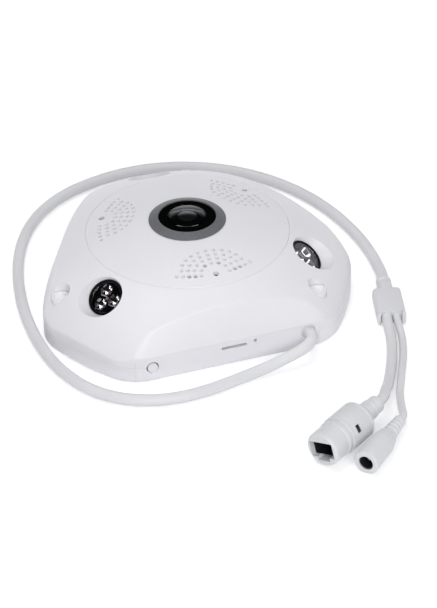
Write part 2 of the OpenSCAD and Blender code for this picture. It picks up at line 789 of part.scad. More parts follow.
antenna_w = 24;
antenna_h = 6;
antenna_t = 0.6;
antenna_gap = 0.4;
module wifi_antenna() {
    color(gold) rotate(SIDE_ANGLES[1]) translate([side_d - wall - antenna_t - antenna_gap, -antenna_w / 2, base_t + play])
        difference() {
            cube([antenna_t, antenna_w, antenna_h - play]);
            translate([-cut, antenna_w / 4, antenna_h / 3]) cube([antenna_t + 2 * cut, antenna_w, antenna_t]);
        }
}

// Card socket behind the slot of the front wall
socket_out_w = 14.2;
socket_out_l = 15;
socket_out_t = 1.9;
socket_skin = 0.3;
card_z = board_z + socket_out_t / 2;
module card_socket() {
    inner_w = card_w;
    color(metal) translate([card_x, -front_d + wall + fit, board_z]) difference() {
        translate([-socket_out_w / 2, 0, 0]) cube([socket_out_w, socket_out_l, socket_out_t]);
        translate([-inner_w / 2, -cut, socket_skin])
            cube([inner_w, socket_out_l + cut - socket_skin, socket_out_t - 2 * socket_skin]);
    }
}

// Reset button: a cap held behind the wall by its collar, with a stem that works the switch
module reset_button() {
    outer = front_d - panel_depth + button_proud;
    held = front_d - wall - 2 * play;
    color(shell_white) translate([button_x, 0, button_z]) rotate([90, 0, 0]) {
        translate([0, 0, held - collar_t]) cylinder(r = button_r, h = outer - held + collar_t);
        translate([0, 0, held - collar_t]) cylinder(r = collar_r, h = collar_t);
        translate([0, 0, held - collar_t - stem_l]) cylinder(r = stem_r, h = stem_l + fit);
    }
}

module reset_switch() {
    color(chip_black) difference() {
        translate([button_x - switch_w / 2, switch_front - front_d, button_z - switch_h / 2])
            cube([switch_w, switch_l, switch_h]);
        translate([button_x, switch_front - front_d - cut, button_z]) rotate([-90, 0, 0])
            cylinder(r = stem_r + play, h = switch_l);
    }
}

module cable_header() {
    color(shell_white) translate([header_x - header_w / 2, header_y, cable_z - header_h / 2]) difference() {
        cube([header_w, header_l, header_h]);
        for (side = [1, 3]) translate([header_w * side / 4 - collar_t / 2, header_l / 3, header_h - collar_t])
            cube([collar_t, header_l, collar_t + cut]);
    }
}

// Cable routes, in millimetres, from the grommet to the splitter and on to the two connectors
exit_l = 4.4;
MAIN_ROUTE = [
    [cable_x, panel_depth - front_d, cable_z], [cable_x, -front_d - exit_l, cable_z], [34.2, -67.6, 8.5], [30.2, -69.9, 7.5],
    [25.4, -71, 6.4], [20.6, -71.6, 5.3], [14.6, -72.3, 4], [7.6, -73.2, 3], [-5, -75.9, 2.7], [-18.6, -78.4, 2.7],
    [-32.7, -78.7, 2.7], [-45.6, -75.6, 2.7], [-56.8, -69.2, 2.7], [-65.4, -59.7, 2.7], [-71.4, -47.6, 2.7],
    [-75.1, -34.5, 2.7], [-76.9, -20.4, 2.7], [-77.2, -6.5, 2.7], [-76.4, 7.3, 2.7], [-74.4, 21.6, 2.7],
    [-71.3, 36, 2.7], [-66.9, 50, 2.7], [-60.9, 63.4, 2.7], [-53, 75.6, 2.7], [-43.2, 85.7, 2.7], [-31.9, 93.3, 2.7],
    [-19.1, 98.5, 2.7], [-5.4, 101.5, 2.7], [8.6, 102, 2.7], [22.6, 99.8, 2.7], [36.1, 94.9, 2.7], [48.7, 87.5, 2.7],
    [60, 77.7, 2.7], [69.7, 65.6, 2.7], [77.4, 51.9, 2.7], [82.9, 37.2, 2.7], [86.3, 22.3, 2.7], [88, 8, 2.7],
    [88.1, -5.3, 2.7], [87.3, -14.8, 3], [86.1, -22.8, 3.5], [84.7, -28.2, 3.5]
];
NETWORK_ROUTE = [
    [76.2, -52.4, 3.5], [74.8, -57.6, 3.5], [73.6, -62.2, 3.2], [72, -68.6, 2.7], [69.7, -75.5, 2.4],
    [66.7, -82.9, 2.4], [63.3, -90.1, 2.4], [59.9, -96.8, 2.9], [56.4, -103.4, 4.4], [52.6, -109.8, 6.8],
    [49.6, -114.9, 8.1], [47.4, -117.3, 8.5], [44.9, -118.9, 8.5]
];
POWER_ROUTE = [
    [80.6, -53.5, 3.5], [79.4, -57.8, 3.5], [78.5, -62, 3.1], [77.1, -68.9, 2.2], [74.8, -76.2, 1.8],
    [71.5, -84.2, 1.8], [67.8, -91.9, 1.8], [64, -99.7, 1.8], [60.4, -107.4, 2.1], [57.8, -114.6, 3.2],
    [55.7, -121, 4.6], [54.7, -124.6, 5.2], [53.9, -126.6, 5.4], [52.9, -128, 5.45], [51.4, -129.4, 5.45]
];
MAIN_SIDES = 12;
THIN_SIDES = 8;

function unit(v) = v / norm(v);
function heading(route, i) = unit(route[min(i + 1, len(route) - 1)] - route[max(i - 1, 0)]);
function ring(centre, ahead, r, sides) = let (
        across = unit(cross([0, 0, 1], ahead)),
        above = cross(ahead, across)
    ) [for (k = [0:sides - 1]) centre + r * (cos(360 * k / sides) * across + sin(360 * k / sides) * above)];

// A tube of flat sides along a route, with a ring at each of its points
module tube(route, d, sides) {
    last = (len(route) - 1) * sides;
    points = [for (i = [0:len(route) - 1]) each ring(route[i], heading(route, i), d / 2, sides)];
    walls = [for (i = [0:len(route) - 2], k = [0:sides - 1]) let (
            a = i * sides + k,
            b = i * sides + (k + 1) % sides
        ) each [[a, a + sides, b + sides], [a, b + sides, b]]];
    start = [for (k = [1:sides - 2]) [0, k, k + 1]];
    end = [for (k = [1:sides - 2]) [last, last + k + 1, last + k]];
    polyhedron(points, concat(walls, start, end));
}

module main_cable() {
    color(cable_grey) tube(MAIN_ROUTE, cable_d, MAIN_SIDES);
}
module network_cable() {
    color(cable_grey) tube(NETWORK_ROUTE, network_d, MAIN_SIDES);
}
module power_cable() {
    color(cable_grey) tube(POWER_ROUTE, power_d, THIN_SIDES);
}

// Splitter: a neck round the main cable and a flat block with rounded edges
splitter_at = MAIN_ROUTE[len(MAIN_ROUTE) - 1];
splitter_turn = -104.6;
splitter_t = 7;
splitter_edge_r = 2;
neck_r = 3.5;
neck_step = 0.4;
fork_l = 4.5;
fork_w = 9.7;
module cable_splitter() {
    color(cable_grey) translate(splitter_at) rotate([0, 90, splitter_turn]) {
        cylinder(r = neck_r - neck_step, h = neck_l, $fn = 32);
        translate([0, 0, neck_l / 3]) cylinder(r = neck_r, h = 2 * neck_l / 3 + splitter_edge_r, $fn = 32);
        difference() {
            hull() for (x = [-1, 1], y = [-1, 1]) translate([
                    x * (splitter_t / 2 - splitter_edge_r), y * (splitter_w / 2 - splitter_edge_r), neck_l]) {
                translate([0, 0, splitter_edge_r]) cylinder(r = splitter_edge_r, h = splitter_l - splitter_edge_r, $fn = 24);
                translate([0, 0, splitter_edge_r]) sphere(splitter_edge_r, $fn = 24);
            }
            translate([-splitter_t, -fork_w / 2, neck_l + splitter_l - fork_l]) cube([2 * splitter_t, fork_w, 2 * fork_l]);
        }
    }
}

// Network coupler: it stands with its mouth at the origin of this frame and its axis along +Z
coupler_at = [11.4, -140.7];
coupler_turn = 33;
network_end = NETWORK_ROUTE[len(NETWORK_ROUTE) - 1];
edge = 0.6;
groove_w = 0.6;
groove_t = 0.35;
rear_rim_l = 1.6;
socket_depth = 14;
latch_w = 6.2;
latch_h = 1.5;
mouth_chamfer = 0.7;
module at_coupler() {
    translate([coupler_at.x, coupler_at.y, coupler_r]) rotate([0, 90, coupler_turn]) children();
}

module network_coupler() {
    color(cable_grey) at_coupler() difference() {
        rotate_extrude($fn = 96) polygon([
            [0, 0], [mouth_r - mouth_chamfer, 0], [mouth_r, mouth_chamfer], [mouth_r, mouth_l],
            [coupler_r - 2 * groove_t, mouth_l], [coupler_r - groove_t, mouth_l + edge / 2],
            [coupler_r - groove_t, mouth_l + 4 * groove_w],
            [coupler_r - 2 * groove_t, mouth_l + 4 * groove_w], [coupler_r - 2 * groove_t, mouth_l + 5 * groove_w],
            [coupler_r, mouth_l + 5 * groove_w],
            [coupler_r, coupler_l - rear_rim_l - groove_w],
            [coupler_r - groove_t, coupler_l - rear_rim_l - groove_w], [coupler_r - groove_t, coupler_l - rear_rim_l],
            [coupler_r, coupler_l - rear_rim_l], [coupler_r, coupler_l - edge], [coupler_r - edge, coupler_l],
            [0, coupler_l]
        ]);
        rotate(-coupler_roll) {
            translate([-socket_h / 2, -socket_w / 2, -cut]) cube([socket_h, socket_w, socket_depth + cut]);
            translate([socket_h / 2 - fit, -latch_w / 2, -cut]) cube([latch_h + fit, latch_w, socket_depth + cut]);
        }
        rotate(light_turn) translate([coupler_r - light_t, -light_w / 2, light_z])
            cube([2 * light_t, light_w, light_l]);
    }
}

// The insert carries the contacts at the back and along the top of the socket
insert_l = 3;
comb_t = 1;
module network_insert() {
    half_w = socket_w / 2 - fit;
    color(chip_black) at_coupler() rotate(-coupler_roll) {
        translate([fit - socket_h / 2, -half_w, socket_depth - insert_l - fit])
            cube([socket_h - 2 * fit, 2 * half_w, insert_l]);
        translate([fit - socket_h / 2, -half_w, 2 * insert_l])
            cube([comb_t, 2 * half_w, socket_depth - 3 * insert_l]);
    }
}

contacts = 8;
contact_pitch = 1.02;
contact_w = 0.4;
contact_l = 4.9;
contact_drop = 2;
module network_contacts() {
    top = fit - socket_h / 2 + comb_t;
    back = socket_depth - insert_l - fit;
    color(gold) at_coupler() rotate(-coupler_roll) for (i = [0:contacts - 1])
        translate([0, (i - (contacts - 1) / 2) * contact_pitch + contact_w / 2, 0]) rotate([90, 0, 0])
            linear_extrude(contact_w) polygon([
                [top, back - contact_l], [top, back - contact_l + contact_w],
                [top + contact_drop, back], [top + contact_drop + contact_w, back]
            ]);
}

light_turn = 237;
light_t = 0.8;
light_w = 3.4;
light_l = 1.8;
light_z = 15.4;
module network_light() {
    color(lens_black) at_coupler() rotate(light_turn) intersection() {
        translate([coupler_r - light_t + fit / 2, fit / 2 - light_w / 2, light_z + fit / 2])
            cube([light_t, light_w - fit, light_l - fit]);
        cylinder(r = coupler_r - fit, h = coupler_l, $fn = 96);
    }
}

// Strain reliefs: stepped tapers with ring grooves, from the connector's rear to the end of the cable
module strain_relief(l, rear_r, front_r, rings, bore_r) {
    step = l / (2 * rings + 1);
    rotate_extrude($fn = 64) polygon(concat(
        [[0, 0], [front_r, 0]],
        [for (i = [0:rings - 1]) each let (r = front_r + (rear_r - front_r) * i / rings, z = (2 * i + 1) * step) [
            [r, z], [r - groove_w, z], [r - groove_w, z + step], [r - groove_w / 3, z + step]
        ]],
        [[rear_r, l], [0, l]]
    ));
}

relief_front_r = 4.9;
relief_rear_r = 3.9;
network_relief_l = norm([network_end.x, network_end.y] - coupler_at) - coupler_l;
module network_strain_relief() {
    color(cable_grey) at_coupler() translate([0, 0, coupler_l])
        strain_relief(network_relief_l, relief_rear_r, relief_front_r, 3, network_d / 2);
}

// Power jack: its mouth is at the origin of this frame and its axis runs along +Z
jack_end = POWER_ROUTE[len(POWER_ROUTE) - 1];
jack_turn = 41.9;
jack_relief_l = 12.4;
jack_total_l = jack_l + jack_relief_l;
jack_bore_l = 10.5;
sleeve_wall = 0.5;
jack_neck_r = 3.6;
jack_tail_r = 2.7;
module at_jack() {
    translate([jack_end.x - jack_total_l * cos(jack_turn), jack_end.y - jack_total_l * sin(jack_turn), jack_r])
        rotate([0, 90, jack_turn]) children();
}

module power_jack() {
    color(cable_grey) at_jack() difference() {
        rotate_extrude($fn = 72) polygon([
            [0, 0], [jack_r - edge, 0], [jack_r, edge], [jack_r, jack_l * 3 / 4], [jack_r - edge / 2, jack_l * 3 / 4 + edge],
            [jack_neck_r + edge, jack_l], [0, jack_l]
        ]);
        translate([0, 0, -cut]) cylinder(r = jack_bore_r + sleeve_wall, h = jack_bore_l + cut);
    }
}

module power_sleeve() {
    color(lens_black) at_jack() difference() {
        translate([0, 0, edge]) cylinder(r = jack_bore_r + sleeve_wall - fit / 2, h = jack_bore_l - edge - fit);
        translate([0, 0, edge - cut]) cylinder(r = jack_bore_r, h = jack_bore_l - edge - 2 * sleeve_wall + cut);
    }
}

module power_pin() {
    color(metal) at_jack() translate([0, 0, 2 * edge])
        cylinder(r = jack_pin_r, h = jack_bore_l - 2 * edge - 2 * sleeve_wall);
}

module power_strain_relief() {
    color(cable_grey) at_jack() translate([0, 0, jack_l])
        strain_relief(jack_relief_l, jack_tail_r, jack_neck_r, 4, power_d / 2);
}

top_cover();
centre_plate();
base_plate();
screw_plugs();
case_screws();
cable_grommet();
lens_bezel_ring();
lens_retaining_ring();
lens_front_glass();
lens_barrel();
lens_holder();
day_night_filter();
image_sensor();
lamp_cups();
lamp_boards();
lamp_reflectors();
lamp_emitters();
lamp_windows();
loudspeaker();
microphone();
light_sensor();
main_board();
processor();
memory_chip();
wifi_module();
wifi_antenna();
card_socket();
reset_button();
reset_switch();
cable_header();
board_screws();
main_cable();
cable_splitter();
network_cable();
power_cable();
network_strain_relief();
network_coupler();
network_insert();
network_contacts();
network_light();
power_strain_relief();
power_jack();
power_sleeve();
power_pin();
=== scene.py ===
from math import atan2, cos, degrees, exp, hypot, pi, radians, sin, sqrt, tan

import bmesh
import bpy
from mathutils import Matrix, Vector


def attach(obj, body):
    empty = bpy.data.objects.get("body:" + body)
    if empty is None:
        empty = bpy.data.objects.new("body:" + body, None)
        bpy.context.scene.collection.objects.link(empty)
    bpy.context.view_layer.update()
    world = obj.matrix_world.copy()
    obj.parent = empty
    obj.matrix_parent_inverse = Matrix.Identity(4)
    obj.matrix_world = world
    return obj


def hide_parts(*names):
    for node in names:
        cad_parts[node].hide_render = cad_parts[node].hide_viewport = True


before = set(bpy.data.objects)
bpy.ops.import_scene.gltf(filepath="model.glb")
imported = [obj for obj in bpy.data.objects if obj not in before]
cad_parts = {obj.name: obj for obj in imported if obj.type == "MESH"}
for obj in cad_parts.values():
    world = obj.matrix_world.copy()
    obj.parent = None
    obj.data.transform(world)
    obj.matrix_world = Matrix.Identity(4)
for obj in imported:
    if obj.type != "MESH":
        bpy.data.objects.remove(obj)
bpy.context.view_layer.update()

# View: the camera is seen from in front, a little to the left and well above, as it lies on a table.
# The lens is long, so its lines hardly converge.
view = bpy.data.objects.new("view", bpy.data.cameras.new("view"))
bpy.context.scene.collection.objects.link(view)
ahead = Vector((0.25892, 0.77359, -0.57838)).normalized()
above = Vector((0.19808, 0.54355, 0.81567))
beside = ahead.cross(above).normalized()
above = beside.cross(ahead)
stand = Matrix.Translation((-0.2852, -0.8947, 0.6575))
view.matrix_world = stand @ Matrix((beside, above, -ahead)).transposed().to_4x4()
view.data.sensor_width = 36
view.data.lens = 147.55
view.data.clip_end = 20
bpy.context.scene.camera = view

# Table and light: a white table top under two soft lamps, in a room with white walls. Past the camera both
# are seen as white. Gloss and glass show walls that darken upwards, and the table keeps the camera's shadow.
bpy.context.scene.view_settings.view_transform = "Standard"


def ranged(tree, source, start, stop, at_start, at_stop):
    """A value that runs from one number to another while its source runs between its own two."""
    ramp = tree.nodes.new("ShaderNodeMapRange")
    for socket, value in (("From Min", start), ("From Max", stop), ("To Min", at_start), ("To Max", at_stop)):
        ramp.inputs[socket].default_value = value
    tree.links.new(source, ramp.inputs["Value"])
    return ramp.outputs["Result"]


def seen_as(tree, plain, mirrored, direct):
    """A strength with one value for the light it gives, one in gloss and glass, and one seen directly."""
    path = tree.nodes.new("ShaderNodeLightPath")
    strength = plain
    rays = (("Is Glossy Ray", mirrored), ("Is Transmission Ray", mirrored), ("Is Camera Ray", direct))
    for ray, shown in rays:
        step = tree.nodes.new("ShaderNodeMix")
        tree.links.new(path.outputs[ray], step.inputs["Factor"])
        for socket, value in (("A", strength), ("B", shown)):
            if isinstance(value, float):
                step.inputs[socket].default_value = value
            else:
                tree.links.new(value, step.inputs[socket])
        strength = step.outputs["Result"]
    return strength


room = bpy.data.worlds.new("room")
bpy.context.scene.world = room
room.use_nodes = True
nodes, links = room.node_tree.nodes, room.node_tree.links
way = nodes.new("ShaderNodeTexCoord")
height = nodes.new("ShaderNodeSeparateXYZ")
links.new(way.outputs["Generated"], height.inputs[0])
walls = ranged(room.node_tree, height.outputs["Z"], 0.1, 0.5, 1.0, 0.02)
links.new(seen_as(room.node_tree, 0.3, walls, 1.0), nodes["Background"].inputs["Strength"])
nodes["Background"].inputs["Color"].default_value = (0.98, 0.985, 1.0, 1.0)

table = bpy.data.objects.new("table", bpy.data.meshes.new("table"))
top = bmesh.new()
bmesh.ops.create_grid(top, x_segments=1, y_segments=1, size=4.0)
top.to_mesh(table.data)
top.free()
bpy.context.scene.collection.objects.link(table)
white = bpy.data.materials.new("table_white")
white.use_nodes = True
nodes, links = white.node_tree.nodes, white.node_tree.links
shader = nodes["Principled BSDF"]
shader.inputs["Base Color"].default_value = (0.86, 0.86, 0.87, 1.0)
shader.inputs["Roughness"].default_value = 0.9
shader.inputs["Emission Color"].default_value = (1.0, 1.0, 1.0, 1.0)
place = nodes.new("ShaderNodeTexCoord")
away = nodes.new("ShaderNodeVectorMath")
away.operation = "LENGTH"
links.new(place.outputs["Object"], away.inputs[0])
fade = ranged(white.node_tree, away.outputs["Value"], 0.3, 2.0, 0.35, 1.0)
links.new(seen_as(white.node_tree, 0.0, fade, fade), shader.inputs["Emission Strength"])
table.data.materials.append(white)


def soft_lamp(name, place, size, power, mirrored):
    """A square lamp that points at the camera's middle. Gloss and glass show it only if it is mirrored."""
    lamp = bpy.data.objects.new(name, bpy.data.lights.new(name, "AREA"))
    lamp.data.size = size
    lamp.data.energy = power
    way = Vector((0.0, -0.02, 0.02)) - Vector(place)
    lamp.matrix_world = Matrix.Translation(place) @ way.to_track_quat("-Z", "Y").to_matrix().to_4x4()
    lamp.visible_glossy = lamp.visible_transmission = mirrored
    bpy.context.scene.collection.objects.link(lamp)


soft_lamp("lamp_front", (-0.2, -1.2, 0.74), 1.1, 12.0, mirrored=True)
soft_lamp("lamp_above", (-0.08, 0.3, 1.2), 0.9, 6.8, mirrored=False)


# Splitter: a soft vinyl block moulded over the joint of the three cables, flat, with rounded shoulders.
# Its neck holds the main cable and has a fine ring near the end, and a short fork lies between the two leads.
def finish_of(name, colour, rough, metal=0.0, drift=0.03, grain=0.03, grain_size=0.0006, specks=None):
    """A finish whose colour and gloss drift slowly, with a fine grain and perhaps specks of another colour."""
    finish = bpy.data.materials.new(name)
    finish.use_nodes = True
    nodes, links = finish.node_tree.nodes, finish.node_tree.links
    shader = nodes["Principled BSDF"]
    shader.inputs["Metallic"].default_value = metal
    place = nodes.new("ShaderNodeTexCoord")
    cloud = nodes.new("ShaderNodeTexNoise")
    cloud.inputs["Scale"].default_value = 38.0
    cloud.inputs["Detail"].default_value = 4.0
    links.new(place.outputs["Object"], cloud.inputs["Vector"])
    tint = nodes.new("ShaderNodeValToRGB")
    tint.color_ramp.elements[0].position = 0.3
    tint.color_ramp.elements[1].position = 0.7
    tint.color_ramp.elements[0].color = [part * (1 - drift) for part in colour] + [1.0]
    tint.color_ramp.elements[1].color = [min(part * (1 + drift), 1.0) for part in colour] + [1.0]
    links.new(cloud.outputs["Fac"], tint.inputs["Fac"])
    painted = tint.outputs["Color"]
    dust = nodes.new("ShaderNodeTexNoise")
    dust.inputs["Scale"].default_value = 1 / grain_size
    dust.inputs["Detail"].default_value = 2.0
    links.new(place.outputs["Object"], dust.inputs["Vector"])
    if specks:
        spread = nodes.new("ShaderNodeValToRGB")
        spread.color_ramp.elements[0].position = 0.45
        spread.color_ramp.elements[1].position = 0.7
        links.new(dust.outputs["Fac"], spread.inputs["Fac"])
        mix = nodes.new("ShaderNodeMix")
        mix.data_type = "RGBA"
        links.new(spread.outputs["Color"], mix.inputs["Factor"])
        links.new(painted, mix.inputs["A"])
        mix.inputs["B"].default_value = (*specks, 1.0)
        painted = mix.outputs["Result"]
    links.new(painted, shader.inputs["Base Color"])
    gloss = ranged(finish.node_tree, cloud.outputs["Fac"], 0.0, 1.0, rough * 0.85, min(rough * 1.15, 1.0))
    links.new(gloss, shader.inputs["Roughness"])
    bump = nodes.new("ShaderNodeBump")
    bump.inputs["Strength"].default_value = grain
    bump.inputs["Distance"].default_value = 0.0001
    links.new(dust.outputs["Fac"], bump.inputs["Height"])
    links.new(bump.outputs["Normal"], shader.inputs["Normal"])
    return finish


def turn(profile, steps=96):
    """A profile of (radius, height) or (radius, height, rounding) points, spun once round the Z axis."""
    bm = bmesh.new()
    chain = [bm.verts.new((point[0], 0.0, point[1])) for point in profile]
    for a, b in zip(chain, chain[1:]):
        bm.edges.new((a, b))
    if min(point[0] for point in profile) > 1e-6:
        bm.edges.new((chain[-1], chain[0]))
    for corner, point in zip(chain, profile):
        if len(point) == 3:
            bmesh.ops.bevel(
                bm, geom=[corner], offset=point[2], offset_type="OFFSET", affect="VERTICES",
                segments=4, profile=0.5, material=-1,
            )
    bmesh.ops.spin(
        bm, geom=bm.verts[:] + bm.edges[:], cent=(0, 0, 0), axis=(0, 0, 1), angle=2 * pi, steps=steps,
        use_merge=True,
    )
    bmesh.ops.remove_doubles(bm, verts=bm.verts, dist=1e-7)
    bmesh.ops.dissolve_degenerate(bm, edges=bm.edges, dist=1e-8)
    bmesh.ops.recalc_face_normals(bm, faces=bm.faces)
    return bm


def block(size, centre, edge=0.0, segments=3):
    """A block with rounded edges."""
    bm = bmesh.new()
    bmesh.ops.create_cube(bm, size=1.0)
    bmesh.ops.scale(bm, vec=size, verts=bm.verts)
    bmesh.ops.translate(bm, vec=centre, verts=bm.verts)
    if edge:
        bmesh.ops.bevel(
            bm, geom=bm.edges, offset=edge, offset_type="OFFSET", affect="EDGES", segments=segments,
            profile=0.5, material=-1,
        )
    return bm


def put(places, *parts):
    """One mesh with the parts joined, once at each place."""
    mesh = bpy.data.meshes.new("parts")
    whole = bmesh.new()
    for part in parts:
        part.to_mesh(mesh)
        part.free()
        for place in places:
            mesh.transform(place)
            whole.from_mesh(mesh)
            mesh.transform(place.inverted())
    bpy.data.meshes.remove(mesh)
    return whole


def carved(bm, tool):
    """The mesh after a cutter's closed shapes are taken out of it."""
    pair = []
    for name, part in (("blank", bm), ("cutter", tool)):
        pair.append(bpy.data.objects.new(name, bpy.data.meshes.new(name)))
        part.to_mesh(pair[-1].data)
        part.free()
        bpy.context.scene.collection.objects.link(pair[-1])
    cut = pair[0].modifiers.new("cut", "BOOLEAN")
    cut.operation = "DIFFERENCE"
    cut.object = pair[1]
    cut.solver = "EXACT"
    result = bmesh.new()
    result.from_object(pair[0], bpy.context.evaluated_depsgraph_get())
    for spent in pair:
        mesh = spent.data
        bpy.data.objects.remove(spent)
        bpy.data.meshes.remove(mesh)
    return result


def fitted(name, bm, finish, slot, *stands_for, body="camera", crisp=35):
    """One finished piece, smooth but for its sharp edges, which stands for the CAD nodes that it names."""
    mesh = bpy.data.meshes.new(name)
    bm.to_mesh(mesh)
    bm.free()
    for face in mesh.polygons:
        face.use_smooth = True
    mesh.set_sharp_from_angle(angle=radians(crisp))
    mesh.materials.append(finish)
    made = bpy.data.objects.new(name, mesh)
    bpy.context.scene.collection.objects.link(made)
    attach(made, body)
    if stands_for:
        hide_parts(*stands_for)
    return made


def lying(end, heading, height):
    """The place of a piece that lies on the table, its own Z axis along a heading in degrees."""
    turned = Matrix.Rotation(radians(heading), 4, "Z") @ Matrix.Rotation(pi / 2, 4, "Y")
    return Matrix.Translation((*end, height)) @ turned


vinyl = finish_of("cable_vinyl", (0.71, 0.71, 0.73), 0.42, grain=0.05, grain_size=0.0004)
splitter_place = lying((0.0847, -0.0282), -104.6, 0.0035)
neck_radius, waist_radius, neck_end = 0.0035, 0.0031, 0.0112
neck = turn([
    (0.0, 0.0), (waist_radius, 0.0, 0.0004), (neck_radius, 0.0008, 0.0004), (neck_radius, 0.0022, 0.0004),
    (0.0032, 0.0027, 0.0002), (waist_radius, 0.0033, 0.0002), (neck_radius, 0.0039, 0.0006),
    (neck_radius, neck_end), (0.0, neck_end),
], 48)
splitter_thick, splitter_wide, splitter_long, splitter_start = 0.007, 0.013, 0.0226, 0.0094
fork_wide, fork_start, splitter_end, cutter_long = 0.0097, 0.0282, 0.03, 0.02
shoulders = block(
    (splitter_thick, splitter_wide, splitter_long), (0.0, 0.0, splitter_start + splitter_long / 2), 0.0019, 5)
fork = block((cutter_long, fork_wide, cutter_long), (0.0, 0.0, fork_start + cutter_long / 2))
past_end = block((cutter_long, cutter_long, cutter_long), (0.0, 0.0, splitter_end + cutter_long / 2))
shoulders = carved(carved(shoulders, fork), past_end)
splitter = fitted(
    "splitter_block", put([splitter_place], neck, shoulders), vinyl, "cable_sheath", "cable_splitter")


# Network coupler: a round two-part moulding of satin white plastic with a socket for a network plug in its
# mouth. Its insert is black, and a black liner on the socket's walls is painted shade for the dark inside.
# Its contacts hang from a comb, and a small dark window shows the link light.
def dressed(node, finish):
    """Gives a CAD node, which keeps its own shape, its finish."""
    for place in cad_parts[node].material_slots:
        place.material = finish


satin = finish_of("connector_satin", (0.69, 0.70, 0.715), 0.36, grain=0.02)
coupler_radius, coupler_length = 0.0085, 0.0263
nose_radius, band_radius = 0.00775, 0.00815
coupler_place = lying((0.0114, -0.1407), 33.0, coupler_radius)
coupler = turn([
    (0.0, 0.0), (0.0069, 0.0, 0.0001), (nose_radius, 0.0008, 0.0003), (nose_radius, 0.009), (0.0079, 0.009),
    (band_radius, 0.0093), (band_radius, 0.0112, 0.0001), (0.0078, 0.0114), (0.0078, 0.0118),
    (coupler_radius, 0.012, 0.0002), (coupler_radius, 0.0134, 0.0001), (0.0083, 0.0135), (0.0083, 0.0137),
    (coupler_radius, 0.0138, 0.0001), (coupler_radius, 0.0240, 0.0002), (0.0082, 0.0241), (0.0082, 0.0247),
    (coupler_radius, 0.0248, 0.0002), (coupler_radius, coupler_length, 0.0006), (0.0, coupler_length),
], 120)
socket_roll = Matrix.Rotation(radians(-16.0), 4, "Z")
window_turn = Matrix.Rotation(radians(237.0), 4, "Z")
socket_high, socket_wide = 0.0072, 0.0117
latch_high, latch_wide, latch_at = 0.0017, 0.0062, 0.0043
socket = put([socket_roll], block((socket_high, socket_wide, 0.016), (0.0, 0.0, 0.006), 0.0003, 2))
latch = put([socket_roll], block((latch_high, latch_wide, 0.016), (latch_at, 0.0, 0.006)))
window = put([window_turn], block((0.0016, 0.0036, 0.0022), (coupler_radius, 0.0, 0.0163)))
for tool in (socket, latch, window):
    coupler = carved(coupler, tool)
network_coupler = fitted(
    "coupler_moulding", put([coupler_place], coupler), satin, "connector_plastic", "network_coupler",
    crisp=30)
socket_black_and_shade = finish_of("socket_black_and_shade", (0.018, 0.018, 0.02), 0.4)
dressed("network_insert", socket_black_and_shade)
# The liner: a black lining over the socket's walls, painted shade that darkens the inside of the socket.
shade_liner_gap, shade_liner_walls, hollow_at = 0.00004, 0.0003, 0.0032
shade_liner = put([socket_roll], block(
    (socket_high - shade_liner_gap, socket_wide - shade_liner_gap, 0.0112), (0.0, 0.0, 0.008), 0.00025, 2))
for hollow in (
        block((socket_high - shade_liner_walls, socket_wide - shade_liner_walls, 0.02), (0.0, 0.0, hollow_at)),
        block((latch_high, latch_wide, 0.02), (latch_at, 0.0, hollow_at))):
    shade_liner = carved(shade_liner, put([socket_roll], hollow))
fitted("painted_shade_liner", put([coupler_place], shade_liner), socket_black_and_shade, "black_plastic", crisp=30)
gilt = finish_of("contact_gilt", (0.78, 0.58, 0.25), 0.25, metal=1.0)
dressed("network_contacts", gilt)
dressed("network_light", finish_of("window_black", (0.004, 0.006, 0.006), 0.2))

relief_long = 0.01367
network_relief = turn([
    (0.0, 0.0), (0.0049, 0.0, 0.0003), (0.0049, 0.0018, 0.0002), (0.0042, 0.0019), (0.0042, 0.0036),
    (0.0046, 0.0037, 0.0002), (0.0046, 0.0055, 0.0002), (0.0039, 0.0056), (0.0039, 0.0073),
    (0.0043, 0.0074, 0.0002), (0.0043, 0.0092, 0.0002), (0.0037, 0.0093), (0.0037, 0.0104),
    (0.0039, 0.0105, 0.0002), (0.0039, relief_long, 0.0005), (0.0, relief_long),
], 64)
network_relief = fitted(
    "network_relief_rings", put([coupler_place @ Matrix.Translation((0, 0, coupler_length))], network_relief),
    vinyl, "cable_sheath", "network_strain_relief")

# Power jack: a cylinder of the same white plastic, round a black sleeve with a tinned pin in its middle.
# It narrows at the rear to a ribbed strain relief.
jack_radius, jack_length, jack_bore, jack_heading = 0.00545, 0.0205, 0.0033, 41.9
jack_and_relief, jack_turn = 0.0329, radians(jack_heading)
jack_mouth = (0.0514 - jack_and_relief * cos(jack_turn), -0.1294 - jack_and_relief * sin(jack_turn))
jack_place = lying(jack_mouth, jack_heading, jack_radius)
jack = turn([
    (jack_bore, 0.0), (jack_radius, 0.0, 0.0006), (jack_radius, 0.0155, 0.0004), (0.0051, 0.0161, 0.0002),
    (0.0042, jack_length, 0.0004), (jack_bore, jack_length),
], 96)
power_jack = fitted("jack_moulding", put([jack_place], jack), satin, "connector_plastic", "power_jack")
sleeve_bore, sleeve_radius, sleeve_floor, sleeve_end = 0.0028, 0.00325, 0.0095, 0.0104
sleeve = turn([
    (sleeve_bore, 0.0006, 0.0002), (sleeve_radius, 0.0006), (sleeve_radius, sleeve_end), (0.0, sleeve_end),
    (0.0, sleeve_floor), (sleeve_bore, sleeve_floor),
], 64)
power_sleeve = fitted("jack_sleeve", put([jack_place], sleeve), socket_black_and_shade, "black_plastic", "power_sleeve")
tinned = finish_of("tinned_metal", (0.6, 0.6, 0.61), 0.28, metal=1.0)
pin_radius, pin_tip, pin_foot = 0.00105, 0.0032, 0.0094
pin = turn([(0.0, pin_tip), (pin_radius, pin_tip, 0.0005), (pin_radius, pin_foot), (0.0, pin_foot)], 32)
power_pin = fitted("jack_pin", put([jack_place], pin), tinned, "can_metal", "power_pin")
rib_radius, rib_length, rib_count, groove = 0.0036, 0.00124, 4, 0.0006
ribs = [(0.0, 0.0), (rib_radius, 0.0, 0.0002)]
